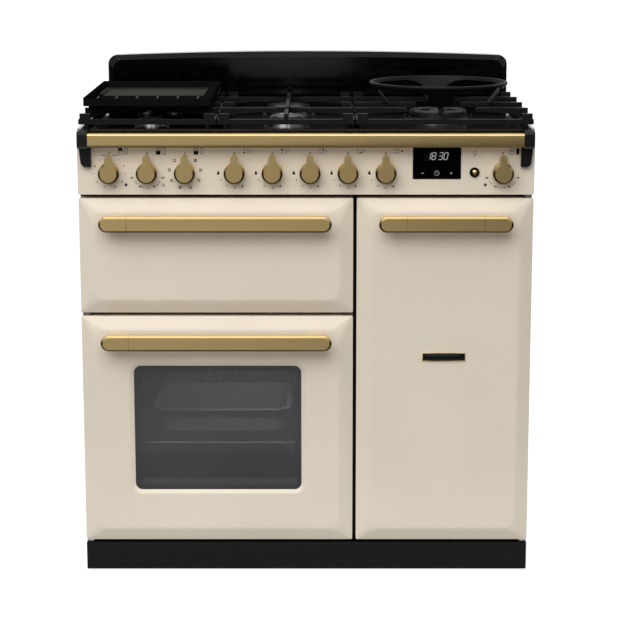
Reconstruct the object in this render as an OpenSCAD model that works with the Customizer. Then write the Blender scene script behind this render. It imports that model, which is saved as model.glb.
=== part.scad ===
// Freestanding range cooker: three doors, five gas burners, griddle and wok cradle.
// Millimetres. +X to the right and -Y to the front as someone stands at the cooker.
// The origin is on the floor, in the middle of the whole footprint.

/* [Cabinet] */
// Width across the control panel and the doors
cooker_w = 900; // [880:5:1000]
// Depth from the door faces to the back
body_d = 608; // [600:2:660]
// Height of the plinth above the floor
plinth_lift = 4; // [3:0.5:10]
// Height of the plinth
plinth_h = 57; // [45:1:80]
// Sheet thickness of the plinth
plinth_t = 1.5; // [1:0.1:3]
// Sheet thickness of the side panels
side_t = 1.5; // [1:0.1:2.5]
// Sheet thickness of the rear panel
rear_t = 1; // [0.8:0.1:2]
// How far the rear panel is set in from the back
rear_inset = 22; // [20:1:30]
// Height of the side panels' lower edge above the floor
skirt_z = 30; // [26:1:40]
// Depth of the front frame's bars
frame_d = 16; // [12:1:24]

/* [Doors] */
// Width of the two doors on the left
left_door_w = 543.5; // [520:0.5:570]
// Height of the lower left oven door
oven_door_h = 466; // [440:1:500]
// Height of the grill door above it
grill_door_h = 231; // [210:1:250]
// Gap between neighbouring doors
door_gap = 7; // [6.5:0.5:10]
// Gap between the plinth and the doors
plinth_gap = 6; // [6:0.5:9]
// Thickness of a door
door_t = 42; // [40:1:50]
// Running gap between a door and the front frame
seal_gap = 4; // [3.6:0.1:6]
// Width of the sloping border round a door's raised face
bevel_w = 30; // [24:1:38]
// How far that border falls back
bevel_d = 12; // [8:0.5:14]
// Corner radius of the raised face
crown_r = 23; // [12:1:30]
// Thickness of the pressed door skin
skin_t = 1.5; // [1:0.1:2]
// Thickness of the inner door liner
liner_t = 1.5; // [1:0.1:2]
// Clearance between a liner's rim and the skin round it
liner_fit = 0.3; // [0.2:0.05:0.5]

/* [Oven window] */
// Width of the window glass that shows
win_w = 336; // [300:2:360]
// Height of the window glass that shows
win_h = 257; // [230:1:280]
// Corner radius of the window
win_r = 14; // [8:1:24]
// Distance from the door's lower edge to the window's lower edge
win_lift = 108; // [100:1:120]
// Width of the pressed slope round the window
win_rim = 11; // [8:0.5:14]
// Depth of that slope
win_rim_d = 7; // [5:0.5:10]
// Thickness of each pane
glass_t = 4; // [3:0.5:5]

/* [Handles] */
// How far a handle stands out from its door
handle_reach = 43; // [41:1:50]
// Height of a handle
handle_h = 32; // [24:1:34]
// Front-to-back thickness of the grip bar
grip_t = 16; // [12:1:20]
// Length of each end piece
handle_end = 55; // [46:1:64]
// Radius of the posts behind the end pieces
post_r = 11; // [8:0.5:12]
// Distance from the door's side edges to the handle
handle_inset = 43; // [40:1:60]
// Distance from the door's top edge down to the handle's middle
handle_drop = 45.5; // [42:0.5:50]
// Chamfer round a handle's face
handle_chamfer = 4; // [1:0.5:4]

/* [Hinges] */
// Radius of the oven doors' hinge pins
pin_r = 4; // [3:0.5:4.5]
// Radius of the grill door's hinge pins
grill_pin_r = 3; // [2:0.5:3.5]
// Running clearance between a pin and its bore
pin_fit = 0.08; // [0.05:0.01:0.1]
// Length of pin inside a door
pin_l = 16; // [12:1:20]
// Thickness of a hinge plate
plate_t = 3; // [2:0.5:3]
// Distance from an oven door's outer edge to its pin
hinge_side = 10; // [9:0.5:11]
// Distance from an oven door's back to its pin
hinge_back = 17; // [16:0.5:18]
// Height of the grill door's pins above its lower edge
grill_pin_up = 13; // [12.5:0.5:13.5]
// Distance from the grill door's back to its pins
grill_pin_back = 24; // [23.5:0.5:25]

/* [Ovens] */
// Distance from a door's side edges to its cavity
cavity_side = 52; // [46:1:60]
// Distance from an oven door's top and bottom edges to its cavity
cavity_top = 48; // [42:1:56]
// Distance from the grill door's top and bottom edges to its cavity
grill_top = 30; // [26:1:34]
// Depth of the cavities behind the front frame
cavity_d = 420; // [400:2:440]
// Wall thickness of the cavities
cavity_t = 1.5; // [1:0.1:2.5]
// Inner corner radius of the cavities
cavity_r = 10; // [6:1:14]
// Depth of the fan chamber behind the baffle
fan_chamber = 44; // [38:1:50]
// Thickness of a fan baffle
baffle_t = 1.2; // [0.8:0.1:2]
// Height of the left oven's lower shelf above its floor
shelf_low = 45; // [40:1:60]
// Height of the left oven's upper shelf above its floor
shelf_high = 138; // [130:1:160]
// Radius of the shelves' rim rods
rim_rod = 3; // [2.5:0.25:3.5]
// Radius of the shelves' cross wires
wire_rod = 1.75; // [1.5:0.25:2.25]
// Radius of the side racks' rods
rack_rod = 2.5; // [2:0.25:3]
// Pitch of the shelves' cross wires
wire_pitch = 28; // [22:1:40]
// Width of the roasting tin
tin_w = 290; // [260:5:320]
// Front-to-back size of the roasting tin
tin_d = 256; // [230:2:270]
// Depth of the roasting tin
tin_h = 48; // [40:1:60]

/* [Grill] */
// Height of the grill pan's floor above its cavity's floor
grill_pan_up = 108; // [102:1:112]
// Depth of the grill pan's walls
grill_pan_h = 32; // [26:1:36]
// Setback of the grill pan from the cavity's mouth
grill_pan_set = 14; // [12:1:20]
// Radius of the grill and browning element tubes
element_r = 3.2; // [2.5:0.1:4]

/* [Control panel] */
// Height of the control panel
panel_h = 112; // [104:1:124]
// Gap between the doors and the control panel
panel_gap = 8; // [7:0.5:10]
// Setback of the control panel behind the door faces
panel_set = 4; // [2:0.5:6]
// Sheet thickness of the control panel
panel_t = 1.5; // [1.2:0.1:2]
// Height of the knobs' axes above the panel's lower edge
knob_up = 44; // [42:1:50]
// Distance from the panel's ends to the outer knobs
knob_end = 63; // [60:1:66]
// Pitch of the three knobs on the left
knob_pitch = 74.4; // [74:0.2:76]
// Distance between the oven knobs and the hob knobs
knob_split = 97.5; // [92:0.5:98]
// Radius of a knob
knob_r = 20.5; // [18:0.5:21]
// Width of the slope round a knob's face
knob_slope = 4; // [2:0.5:5]
// Length of a knob's thumb lever from the knob's axis
lever_l = 36; // [33:0.5:36]
// Width of the thumb lever
lever_w = 14; // [12:0.5:16]
// Depth of a knob
knob_d = 27; // [22:1:30]
// Radius of the taps' and switches' shafts
shaft_r = 4; // [3:0.5:5]
// Distance from the panel's right end to the clock's middle
clock_from_end = 192.4; // [190:0.5:196]
// Width of the clock's glass
clock_w = 95; // [80:1:98]
// Height of the clock's glass
clock_h = 62; // [52:1:64]
// Distance from the last hob knob's axis to the clock's glass
clock_clear = 53.2; // [46:0.2:60]
// Height of the clock's middle above the panel's lower edge
clock_up = 62; // [58:0.5:64]
// Distance from the panel's right end to the oven light button
button_from_end = 118; // [112:1:122]
// Radius of the oven light button
button_r = 6; // [4.5:0.5:7]
// Height of the button's domed face
button_crown = 3; // [1:0.5:4]

/* [Handrail] */
// Height of the handrail's section
rail_h = 27; // [24:1:32]
// Thickness of the handrail's section
rail_t = 20; // [16:1:22]
// How far the handrail stands out from the control panel
rail_reach = 38; // [36:1:39]
// Drop from the hob's rim to the handrail's top
rail_drop = 5; // [3:0.5:8]
// Width of a handrail bracket
bracket_w = 20; // [18:1:24]
// Distance from the panel's ends to the brackets
bracket_inset = 4; // [2:0.5:8]
// Length of a bracket's leg below the handrail
bracket_leg = 41; // [34:1:44]

/* [Hob] */
// Height of the hob tray's rim
hob_rim_h = 17; // [14:1:22]
// Depth of the tray's well below its rim
hob_well = 9; // [6:1:11]
// Width of the tray's rim
hob_rim_w = 9; // [7:0.5:12]
// Sheet thickness of the hob tray
hob_t = 1.5; // [1.2:0.1:2]
// Width of the pan support over the wok burner
wok_support_w = 351; // [340:1:366]
// Gap between neighbouring pan supports
support_gap = 3; // [2:0.5:5]
// Front-to-back size of the pan supports
support_d = 488; // [470:2:494]
// Thickness of the pan supports' frame bars
bar_t = 11; // [9:0.5:13]
// Height of the pan supports' frame bars
bar_h = 10; // [8:0.5:12]
// Height of the frame bars above the well
bar_up = 15; // [13:0.5:18]
// Height of the lugs and fingers above the frame bars
lug_up = 11; // [9:0.5:13]
// Length of a lug along its bar
lug_l = 21; // [16:1:24]
// Thickness of the fingers
finger_t = 8; // [6:0.5:10]

/* [Burners] */
// Head radius of the simmer burner
small_r = 24; // [21:0.5:26]
// Head radius of the two middle burners
mid_r = 36; // [33:0.5:38]
// Head radius of the rapid burner
big_r = 46; // [42:0.5:48]
// Outer radius of the wok burner's head
wok_r = 60; // [56:0.5:62]
// Height of the burner bases
base_h = 6; // [5:0.5:7]
// Height of the burner heads
head_h = 10; // [8:0.5:10]
// Thickness of the burner caps
cap_t = 6; // [4:0.5:6]

/* [Griddle and wok cradle] */
// Width of the griddle
griddle_w = 258; // [240:2:260]
// Front-to-back size of the griddle
griddle_d = 415; // [380:5:425]
// Height of the griddle's casting
griddle_h = 22; // [18:1:28]
// Height of the griddle's feet
griddle_foot = 2; // [1.5:0.5:6]
// How far the griddle stands to the left of its support's middle
griddle_shift = 5.5; // [0:0.5:6]
// Outer radius of the wok cradle's rim
cradle_r = 144; // [136:1:148]
// Height of the wok cradle
cradle_h = 44; // [36:1:52]

/* [Splashback] */
// Width of the splashback
splash_w = 886; // [840:2:890]
// Height of the splashback above the hob's rim
splash_h = 113; // [90:1:140]
// Thickness of the splashback
splash_t = 51; // [46:1:56]
// Rise of its arched top between the ends and the middle
splash_arch = 9; // [5:0.5:14]
// Corner radius of its top
splash_r = 20; // [12:1:26]
// Width of the slope round its front face
splash_bevel = 11; // [8:0.5:14]

/* [Feet] */
// Radius of a foot's pad
foot_r = 19; // [15:1:22]
// Radius of a foot's threaded stem
stem_r = 5; // [4:0.5:6]
// Travel of a foot's levelling screw
foot_travel = 25; // [20:1:25]
// Radius of the rear rollers
roller_r = 17; // [14:0.5:18]
// Width of the rear rollers
roller_w = 18; // [14:1:22]

/* [Hidden] */
$fn = 48;

// Planes from front to back
face_y = (handle_reach - body_d) / 2;
edge_y = face_y + bevel_d;
door_back_y = face_y + door_t;
frame_y = door_back_y + seal_gap;
cavity_y = frame_y + frame_d;
cavity_back_y = cavity_y + cavity_d;
baffle_y = cavity_back_y - fan_chamber;
back_y = face_y + body_d;
rear_y = back_y - rear_inset;
panel_y = face_y + panel_set;
hob_y = edge_y - 2;

// Levels from the floor up
door_z = plinth_lift + plinth_h + plinth_gap;
grill_z = door_z + oven_door_h + door_gap;
doors_top_z = grill_z + grill_door_h;
tall_door_h = doors_top_z - door_z;
panel_z = doors_top_z + panel_gap;
hob_z = panel_z + panel_h;
rim_z = hob_z + hob_rim_h;
well_z = rim_z - hob_well;
knob_z = panel_z + knob_up;

// Places from left to right
left_x = -cooker_w / 2;
split_x = left_x + left_door_w;
right_door_w = cooker_w - left_door_w - door_gap;
left_mid_x = left_x + left_door_w / 2;
right_mid_x = cooker_w / 2 - right_door_w / 2;
left_cavity_w = left_door_w - 2 * cavity_side;
right_cavity_w = right_door_w - 2 * cavity_side;
left_cavity_h = oven_door_h - 2 * cavity_top;
right_cavity_h = tall_door_h - 2 * cavity_top;
grill_cavity_h = grill_door_h - 2 * grill_top;
oven_floor_z = door_z + cavity_top;
grill_floor_z = grill_z + grill_top;
function oven_knob_x(i) = left_x + knob_end + i * knob_pitch;
right_knob_x = -left_x - knob_end;
clock_x = -left_x - clock_from_end;
hob_knobs_x = oven_knob_x(2) + knob_split;
hob_knob_pitch = (clock_x - clock_w / 2 - clock_clear - hob_knobs_x) / 4;
function hob_knob_x(i) = hob_knobs_x + i * hob_knob_pitch;
button_x = -left_x - button_from_end;

// Hob layout
support_w = (cooker_w - wok_support_w) / 2 - support_gap;
support_y = hob_y + 26;
support_left_x = left_x;
support_centre_x = support_left_x + support_w + support_gap;
support_right_x = support_centre_x + support_w + support_gap;
bar_z = well_z + bar_up;
lug_z = bar_z + bar_h;
finger_z = lug_z + lug_up;
row_pitch = (support_d - bar_t) / 4;
function row_y(i) = support_y + bar_t / 2 + i * row_pitch;
left_col_x = support_left_x + support_w / 2;
centre_col_x = support_centre_x + support_w / 2;
wok_x = support_right_x + wok_support_w / 2;
burners = [
  [left_col_x, row_y(1), small_r], [left_col_x, row_y(3), mid_r],
  [centre_col_x, row_y(1), mid_r], [centre_col_x, row_y(3), big_r],
];
tip_clear = 6;

// Working clearances
slide_fit = 0.3;
rack_gap = 0.3;
weld_gap = 0.2;

paint = "#dccfb8";
brass = "#a08a58";
black = "#1b1b1c";
enamel = "#101012";
steel = "#b9bbbd";
cast = "#2a2a2b";

// Basic forms

module rounded(w, h, r) {
  square([w - 2 * r, h], center = true);
  square([w, h - 2 * r], center = true);
  for (sx = [-1, 1])
    for (sz = [-1, 1])
      translate([sx * (w / 2 - r), sz * (h / 2 - r)])
        circle(r);
}

// Extrudes an outline drawn in X and Z backwards from y over a depth
module along_y(y, depth) {
  translate([0, y + depth, 0])
    rotate([90, 0, 0])
      linear_extrude(depth)
        children();
}

// Extrudes an outline drawn in Y and Z to the right from x over a length
module along_x(x, length) {
  translate([x, 0, 0])
    rotate([90, 0, 90])
      linear_extrude(length)
        children();
}

// Box from one corner to the opposite one
module block(low, high) {
  translate(low)
    cube(high - low);
}

// Straight eight-sided rod between two points
module rod(from, to, r) {
  d = to - from;
  l = norm(d);
  translate(from)
    rotate([0, acos(d.z / l), atan2(d.y, d.x)])
      cylinder(h = l, r = r, $fn = 8);
}

// Unbroken tube along a level path of points
module level_tube(path, r, sides = 8) {
  n = len(path);
  last = n - 1;
  tangents = [for (i = [0 : last]) path[min(i + 1, last)] - path[max(i - 1, 0)]];
  points = [
    for (i = [0 : last])
      let (t = tangents[i] / norm(tangents[i]), side = [-t.y, t.x, 0])
        for (k = [0 : sides - 1])
          let (a = 360 * k / sides)
            path[i] + r * (cos(a) * side + sin(a) * [0, 0, 1])
  ];
  walls = [
    for (i = [0 : n - 2])
      for (k = [0 : sides - 1])
        let (a = i * sides + k, b = i * sides + (k + 1) % sides)
          each [[a, b + sides, b], [a, a + sides, b + sides]]
  ];
  caps = [
    [for (k = [0 : sides - 1]) k],
    [for (k = [0 : sides - 1]) last * sides + sides - 1 - k],
  ];
  polyhedron(points, concat(walls, caps), convexity = 8);
}

// Arc of points about a centre, at one level
function arc(cx, cy, z, r, from, to, steps) =
  [for (i = [0 : steps]) let (a = from + (to - from) * i / steps) [cx + r * cos(a), cy + r * sin(a), z]];

// Chassis

rail_inset = 44;
rail_w = 42;
floor_z = skirt_z + 26;
roller_y = rear_y - 46;
foot_y = frame_y + 46;
foot_x = -left_x - rail_inset - rail_w / 2;
boss_r = stem_r + 6;
boss_l = 22;
axle_r = 4;
roller_z = roller_r;
foot_pad_h = 8;
channel_t = 2;

// Inverted channel that runs from front to back and carries a foot and a roller
module chassis_rail() {
  difference() {
    block([-rail_w / 2, frame_y + frame_d, skirt_z], [rail_w / 2, rear_y, floor_z]);
    block([channel_t - rail_w / 2, frame_y + frame_d - 1, skirt_z - 1],
       [rail_w / 2 - channel_t, rear_y - channel_t, floor_z - channel_t]);
  }
}

module foot_boss() {
  translate([0, foot_y, floor_z - boss_l])
    cylinder(h = boss_l - 1, r = boss_r);
}

module roller_fork() {
  arm_t = 3;
  arm_r = axle_r + 5;
  for (s = [-1, 1])
    along_x(s * (roller_w / 2 + slide_fit + arm_t / 2) - arm_t / 2, arm_t)
      union() {
        translate([roller_y, roller_z])
          circle(arm_r);
        translate([roller_y - arm_r, roller_z])
          square([2 * arm_r, floor_z - 1 - roller_z]);
      }
  translate([-roller_w / 2 - 2, roller_y, roller_z])
    rotate([0, 90, 0])
      cylinder(h = roller_w + 4, r = axle_r);
}

module base_frame() {
  color(steel) {
    difference() {
      union() {
        block([left_x + side_t, frame_y + frame_d, floor_z], [-left_x - side_t, rear_y, floor_z + channel_t]);
        for (s = [-1, 1])
          translate([s * foot_x, 0, 0]) {
            chassis_rail();
            foot_boss();
            roller_fork();
          }
      }
      for (s = [-1, 1])
        translate([s * foot_x, foot_y, floor_z - boss_l - 1])
          cylinder(h = boss_l + channel_t + 2, r = stem_r + pin_fit);
    }
  }
}

module levelling_foot(s) {
  color(black)
    translate([s * foot_x, foot_y, 0]) {
      cylinder(h = foot_pad_h, r1 = foot_r, r2 = foot_r - 3);
      translate([0, 0, foot_pad_h - 1])
        cylinder(h = 5, r = stem_r + 4, $fn = 6);
      cylinder(h = floor_z - boss_l + foot_travel + 13, r = stem_r);
    }
}

module rear_rollers() {
  color(black)
    for (s = [-1, 1])
      translate([s * foot_x - roller_w / 2, roller_y, roller_z])
        rotate([0, 90, 0])
          difference() {
            union() {
              cylinder(h = roller_w, r = roller_r - 1.5);
              translate([0, 0, 2])
                cylinder(h = roller_w - 4, r = roller_r);
            }
            translate([0, 0, -1])
              cylinder(h = roller_w + 2, r = axle_r + pin_fit);
          }
}

// Folded side sheets, each with a lip along its rear edge
module side_panels() {
  back_lip = 14;
  color(black)
    for (s = [-1, 1])
      sided(s) {
        block([-left_x - side_t, frame_y, skirt_z], [-left_x, back_y, hob_z]);
        block([-left_x - back_lip, back_y - side_t, skirt_z], [-left_x - side_t, back_y, hob_z]);
      }
}

gas_inlet_x = -left_x - 110;
gas_inlet_z = hob_z - 50;
inlet_r = 10.48;
inlet_l = 16;
gland_x = left_x + 150;
gland_z = 130;
gland_r = 6.5;

// Rear panel with rows of cooling slots and a cable gland
module rear_panel() {
  slot_w = 46;
  slot_h = 5;
  slot_pitch = 62;
  slot_rise = 14;
  slot_drop = 110;
  gland_l = 12;
  color(steel)
    difference() {
      union() {
        block([left_x + side_t, rear_y, skirt_z], [-left_x - side_t, rear_y + rear_t, hob_z]);
        translate([gland_x, rear_y, gland_z])
          rotate([-90, 0, 0]) {
            cylinder(h = 4, r = gland_r + 9, $fn = 6);
            cylinder(h = gland_l, r = gland_r + 5);
          }
      }
      translate([gland_x, rear_y - 1, gland_z])
        rotate([-90, 0, 0])
          cylinder(h = gland_l + 2, r = gland_r);
      for (column = [-2 : 2])
        for (row = [0 : 5])
          along_y(rear_y - 1, rear_t + 2)
            translate([column * slot_pitch, hob_z - slot_drop + row * slot_rise])
              rounded(slot_w, slot_h, slot_h / 2 - 0.01);
      translate([gas_inlet_x, rear_y - 1, gas_inlet_z])
        rotate([-90, 0, 0])
          cylinder(h = rear_t + 2, r = inlet_r + 1.5);
    }
}

// Front frame: stiles and rails round the three openings, each drawn up to its weld
module front_frame() {
  end_x = -left_x - side_t;
  left_outer = left_mid_x - left_cavity_w / 2;
  left_inner = left_mid_x + left_cavity_w / 2;
  right_inner = right_mid_x - right_cavity_w / 2;
  right_outer = right_mid_x + right_cavity_w / 2;
  stile_top = panel_z + 12;
  head_z = hob_z - 14;
  upright_w = 28;
  color(black) {
    for (x = [[-end_x, left_outer], [left_inner, right_inner], [right_outer, end_x]])
      frame_bar(x, [floor_z, stile_top]);
    for (z = [
      [floor_z, oven_floor_z], [oven_floor_z + left_cavity_h, grill_floor_z],
      [grill_floor_z + grill_cavity_h, stile_top],
    ])
      frame_bar([left_outer + weld_gap, left_inner - weld_gap], z);
    for (z = [[floor_z, oven_floor_z], [oven_floor_z + right_cavity_h, stile_top]])
      frame_bar([right_inner + weld_gap, right_outer - weld_gap], z);
    for (x = [[-end_x, upright_w - end_x], [end_x - upright_w, end_x]])
      frame_bar(x, [stile_top + weld_gap, head_z - weld_gap]);
    frame_bar([-end_x, end_x], [head_z, hob_z]);
  }
}

// Bar of the front frame from one X to another and from one Z to another
module frame_bar(x, z) {
  block([x[0], frame_y, z[0]], [x[1], cavity_y, z[1]]);
}

// Folded kick plate, notched at the back for the side sheets and the front frame
module plinth() {
  depth = cavity_y - edge_y;
  lip = 12;
  top_z = plinth_lift + plinth_h;
  end_y = edge_y + depth + 1;
  color(black)
    difference() {
      block([left_x, edge_y, plinth_lift], [-left_x, edge_y + depth, top_z]);
      block([left_x + plinth_t, edge_y + plinth_t, plinth_lift - 1],
         [-left_x - plinth_t, end_y, top_z - plinth_t]);
      block([left_x - 1, frame_y - 0.01, floor_z - weld_gap], [1 - left_x, end_y, top_z + 1]);
      for (s = [-1, 1])
        sided(s)
          block([-left_x - plinth_t - lip, frame_y - 0.01, skirt_z - weld_gap], [1 - left_x, end_y, top_z]);
    }
}

// Ovens

// Enamelled box, open at the front, with a flange that seats on the frame
module cavity(x, z, w, h, motor) {
  flange = 8;
  difference() {
    union() {
      along_y(cavity_y, cavity_d + cavity_t)
        translate([x, z + h / 2])
          rounded(w + 2 * cavity_t, h + 2 * cavity_t, cavity_r + cavity_t);
      along_y(cavity_y, cavity_t)
        translate([x, z + h / 2])
          rounded(w + 2 * flange, h + 2 * flange, cavity_r + flange);
    }
    along_y(cavity_y - 1, cavity_d + 1)
      translate([x, z + h / 2])
        rounded(w, h, cavity_r);
    if (motor)
      translate([x, cavity_back_y - 1, z + h / 2])
        rotate([-90, 0, 0])
          cylinder(h = cavity_t + 2, r = fan_shaft_r + 2);
  }
}

fan_shaft_r = 3;
fan_r = 62;
fan_gap = 9;
fan_blade_w = 24;
left_fan_z = oven_floor_z + left_cavity_h / 2;
right_fan_z = oven_floor_z + right_cavity_h / 2;

module oven_cavities() {
  color("#3c3d40") {
    cavity(left_mid_x, oven_floor_z, left_cavity_w, left_cavity_h, true);
    cavity(right_mid_x, oven_floor_z, right_cavity_w, right_cavity_h, true);
    cavity(left_mid_x, grill_floor_z, left_cavity_w, grill_cavity_h, false);
  }
}

// Soft rope seal round an oven's mouth, held just clear of the closed door
module seal(x, w, h) {
  seal_w = 7;
  off = 6;
  along_y(frame_y - seal_gap + slide_fit, seal_gap - slide_fit)
    translate([x, oven_floor_z + h / 2])
      difference() {
        rounded(w + 2 * (off + seal_w), h + 2 * (off + seal_w), cavity_r + off + seal_w);
        rounded(w + 2 * off, h + 2 * off, cavity_r + off);
      }
}

module oven_seals() {
  color("#2f2f31") {
    seal(left_mid_x, left_cavity_w, left_cavity_h);
    seal(right_mid_x, right_cavity_w, right_cavity_h);
  }
}

rack_y0 = cavity_y + 26;
rack_y1 = baffle_y - 14;
rack_reach = 2 * rack_rod + rack_rod - 0.5;
shelf_side = rack_reach - 0.5 * rack_rod;
function shelf_half(w) = w / 2 - shelf_side - rim_rod;
function runner_z(z) = z - rim_rod - rack_rod - rack_gap;

// Chromed ladder on one wall: uprights against the wall and a runner for each shelf
module ladder(x, s, z0, h, levels) {
  up_x = x - s * rack_rod;
  run_x = x - s * (3 * rack_rod - 0.5);
  for (y = [rack_y0 + 12, rack_y1 - 12])
    rod([up_x, y, z0 + 14], [up_x, y, z0 + h - 14], rack_rod);
  for (z = levels)
    rod([run_x, rack_y0, z], [run_x, rack_y1, z], rack_rod);
}

left_levels = [shelf_low, shelf_high, left_cavity_h - 100, left_cavity_h - 44];
right_shelf_levels = [right_cavity_h * 0.18, right_cavity_h * 0.62];
right_levels = [right_cavity_h * 0.18, right_cavity_h * 0.4, right_cavity_h * 0.62, right_cavity_h * 0.82];
runner_w = 9;
grill_runner_h = 16;
carriage_z = grill_floor_z + grill_pan_up;

module shelf_supports() {
  color(steel) {
    for (s = [-1, 1]) {
      ladder(left_mid_x + s * left_cavity_w / 2, s, oven_floor_z, left_cavity_h,
         [for (l = left_levels) runner_z(oven_floor_z + l)]);
      ladder(right_mid_x + s * right_cavity_w / 2, s, oven_floor_z, right_cavity_h,
         [for (l = right_levels) runner_z(oven_floor_z + l)]);
      grill_runner(s);
    }
  }
}

// C-shaped telescopic channel fixed to the grill cavity's wall
module grill_runner(s) {
  x = left_mid_x + s * left_cavity_w / 2;
  translate([x, cavity_y + 20, carriage_z])
    sided(s)
      difference() {
        block([-runner_w, 0, -grill_runner_h / 2], [0, cavity_d - 70, grill_runner_h / 2]);
        block([-runner_w + 2, -1, -grill_runner_h / 2 + 2], [-2, cavity_d, grill_runner_h / 2 - 2]);
        block([-runner_w - 1, -1, -grill_runner_h / 2 + 5], [-2, cavity_d, grill_runner_h / 2 - 5]);
      }
}

module sided(s) {
  if (s > 0)
    children();
  else
    mirror([1, 0, 0])
      children();
}

// Chromed wire shelf, seen from its middle line, with its rim at height z
module wire_shelf(x, half_w, z) {
  y0 = rack_y0 - 6;
  y1 = rack_y1 - 4;
  c = 14;
  corners = [
    [-half_w + c, y0], [half_w - c, y0], [half_w, y0 + c], [half_w, y1],
    [-half_w, y1], [-half_w, y0 + c],
  ];
  n = len(corners);
  wires = floor((half_w - 12) / wire_pitch);
  translate([x, 0, z]) {
    for (i = [0 : n - 1]) {
      a = corners[i];
      b = corners[(i + 1) % n];
      grow = rim_rod * 0.4 * (b - a) / norm(b - a);
      rod([a.x - grow.x, a.y - grow.y, 0], [b.x + grow.x, b.y + grow.y, 0], rim_rod);
    }
    for (i = [-wires : wires])
      rod([i * wire_pitch, y0 - 1, rim_rod], [i * wire_pitch, y1 + 1, rim_rod], wire_rod);
  }
}

module left_shelf_upper() {
  color(steel)
    wire_shelf(left_mid_x, shelf_half(left_cavity_w), oven_floor_z + shelf_high);
}

module left_shelf_lower() {
  color(steel)
    wire_shelf(left_mid_x, shelf_half(left_cavity_w), oven_floor_z + shelf_low);
}

module right_shelf(i) {
  color(steel)
    wire_shelf(right_mid_x, shelf_half(right_cavity_w), oven_floor_z + right_shelf_levels[i]);
}

tin_z = oven_floor_z + shelf_high + rim_rod + wire_rod;
tin_y = rack_y0 + 62;
tin_t = 1.5;

// Enamelled tin with a rolled rim, and a slatted trivet lying in it
module roasting_tin() {
  rim = 9;
  r = 26;
  mid_y = tin_y + tin_d / 2;
  slat_pitch = 22;
  slats = floor((tin_w / 2 - 34) / slat_pitch);
  color("#26272a")
    translate([left_mid_x, mid_y, tin_z])
      difference() {
        union() {
          linear_extrude(tin_h)
            rounded(tin_w - 2 * rim, tin_d - 2 * rim, r);
          translate([0, 0, tin_h - 3])
            linear_extrude(3)
              rounded(tin_w, tin_d, r + rim);
        }
        translate([0, 0, tin_t])
          linear_extrude(tin_h)
            rounded(tin_w - 2 * rim - 2 * tin_t, tin_d - 2 * rim - 2 * tin_t, r - tin_t);
      }
  color(steel)
    translate([left_mid_x, mid_y, tin_z + tin_t]) {
      for (i = [-slats : slats])
        block([i * slat_pitch - 6, -tin_d / 2 + 34, 10], [i * slat_pitch + 6, tin_d / 2 - 34, 12]);
      for (s = [-1, 1])
        block([-tin_w / 2 + 26, s * (tin_d / 2 - 38) - 4, 0], [tin_w / 2 - 26, s * (tin_d / 2 - 38) + 4, 10]);
    }
}

// Baffle box in front of a fan, with an intake grille and outlet slots round its edge
module baffle(x, z, w, h) {
  depth = cavity_back_y - baffle_y;
  difference() {
    along_y(baffle_y, depth)
      translate([x, z])
        rounded(w, h, 16);
    along_y(baffle_y + baffle_t, depth)
      translate([x, z])
        rounded(w - 2 * baffle_t, h - 2 * baffle_t, 16 - baffle_t);
    for (ring = [1 : 3])
      for (k = [0 : 4 * ring - 1])
        translate([x, baffle_y - 1, z])
          rotate([0, k * 90 / ring, 0])
            translate([ring * 15, 0, 0])
              rotate([-90, 0, 0])
                cylinder(h = baffle_t + 2, r = 4.5, $fn = 16);
    translate([x, baffle_y - 1, z])
      rotate([-90, 0, 0])
        cylinder(h = baffle_t + 2, r = 4.5, $fn = 16);
    for (s = [-1, 1])
      for (i = [-2 : 2])
        block([x + s * (w / 2 - 18) - 5, baffle_y - 1, z + i * 34 - 12],
           [x + s * (w / 2 - 18) + 5, baffle_y + baffle_t + 1, z + i * 34 + 12]);
  }
}

left_baffle_w = left_cavity_w - 120;
right_baffle_w = right_cavity_w - 30;
baffle_h = left_cavity_h - 90;

module fan_baffles() {
  color("#46474a") {
    baffle(left_mid_x, left_fan_z, left_baffle_w, baffle_h);
    baffle(right_mid_x, right_fan_z, right_baffle_w, baffle_h);
  }
}

motor_r = 32;
motor_l = 46;

module fan_motors() {
  color(steel)
    for (p = [[left_mid_x, left_fan_z], [right_mid_x, right_fan_z]])
      translate([p.x, cavity_back_y + cavity_t, p.y])
        rotate([-90, 0, 0])
          difference() {
            union() {
              cylinder(h = motor_l, r = motor_r);
              cylinder(h = 3, r = motor_r + 12);
            }
            translate([0, 0, -1])
              cylinder(h = motor_l - 8, r = fan_shaft_r + pin_fit);
          }
}

// Fan wheel on its own shaft, which runs back into the motor
module fan_blade(x, z) {
  hub_l = 14;
  y = baffle_y + baffle_t + fan_gap;
  color(steel)
    translate([x, y, z])
      rotate([-90, 0, 0]) {
        difference() {
          union() {
            cylinder(h = hub_l, r = 9);
            cylinder(h = 1.5, r = fan_r);
            for (k = [0 : 7])
              rotate([0, 0, 45 * k])
                translate([20, -0.75, 0])
                  rotate([0, 0, 24])
                    cube([36, 1.5, fan_blade_w]);
          }
          translate([0, 0, 1])
            cylinder(h = hub_l, r = fan_shaft_r - 0.5);
        }
        cylinder(h = cavity_back_y + cavity_t + motor_l - 14 - y, r = fan_shaft_r);
      }
}

lamp_r = 17;
lamp_in = 32;

// Round lamp glass in the upper corner of an oven's back wall
module lamp(x) {
  translate([x, cavity_back_y, 0])
    rotate([90, 0, 0]) {
      cylinder(h = 4, r = lamp_r);
      cylinder(h = 11, r1 = lamp_r - 2, r2 = lamp_r - 5);
    }
}

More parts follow.
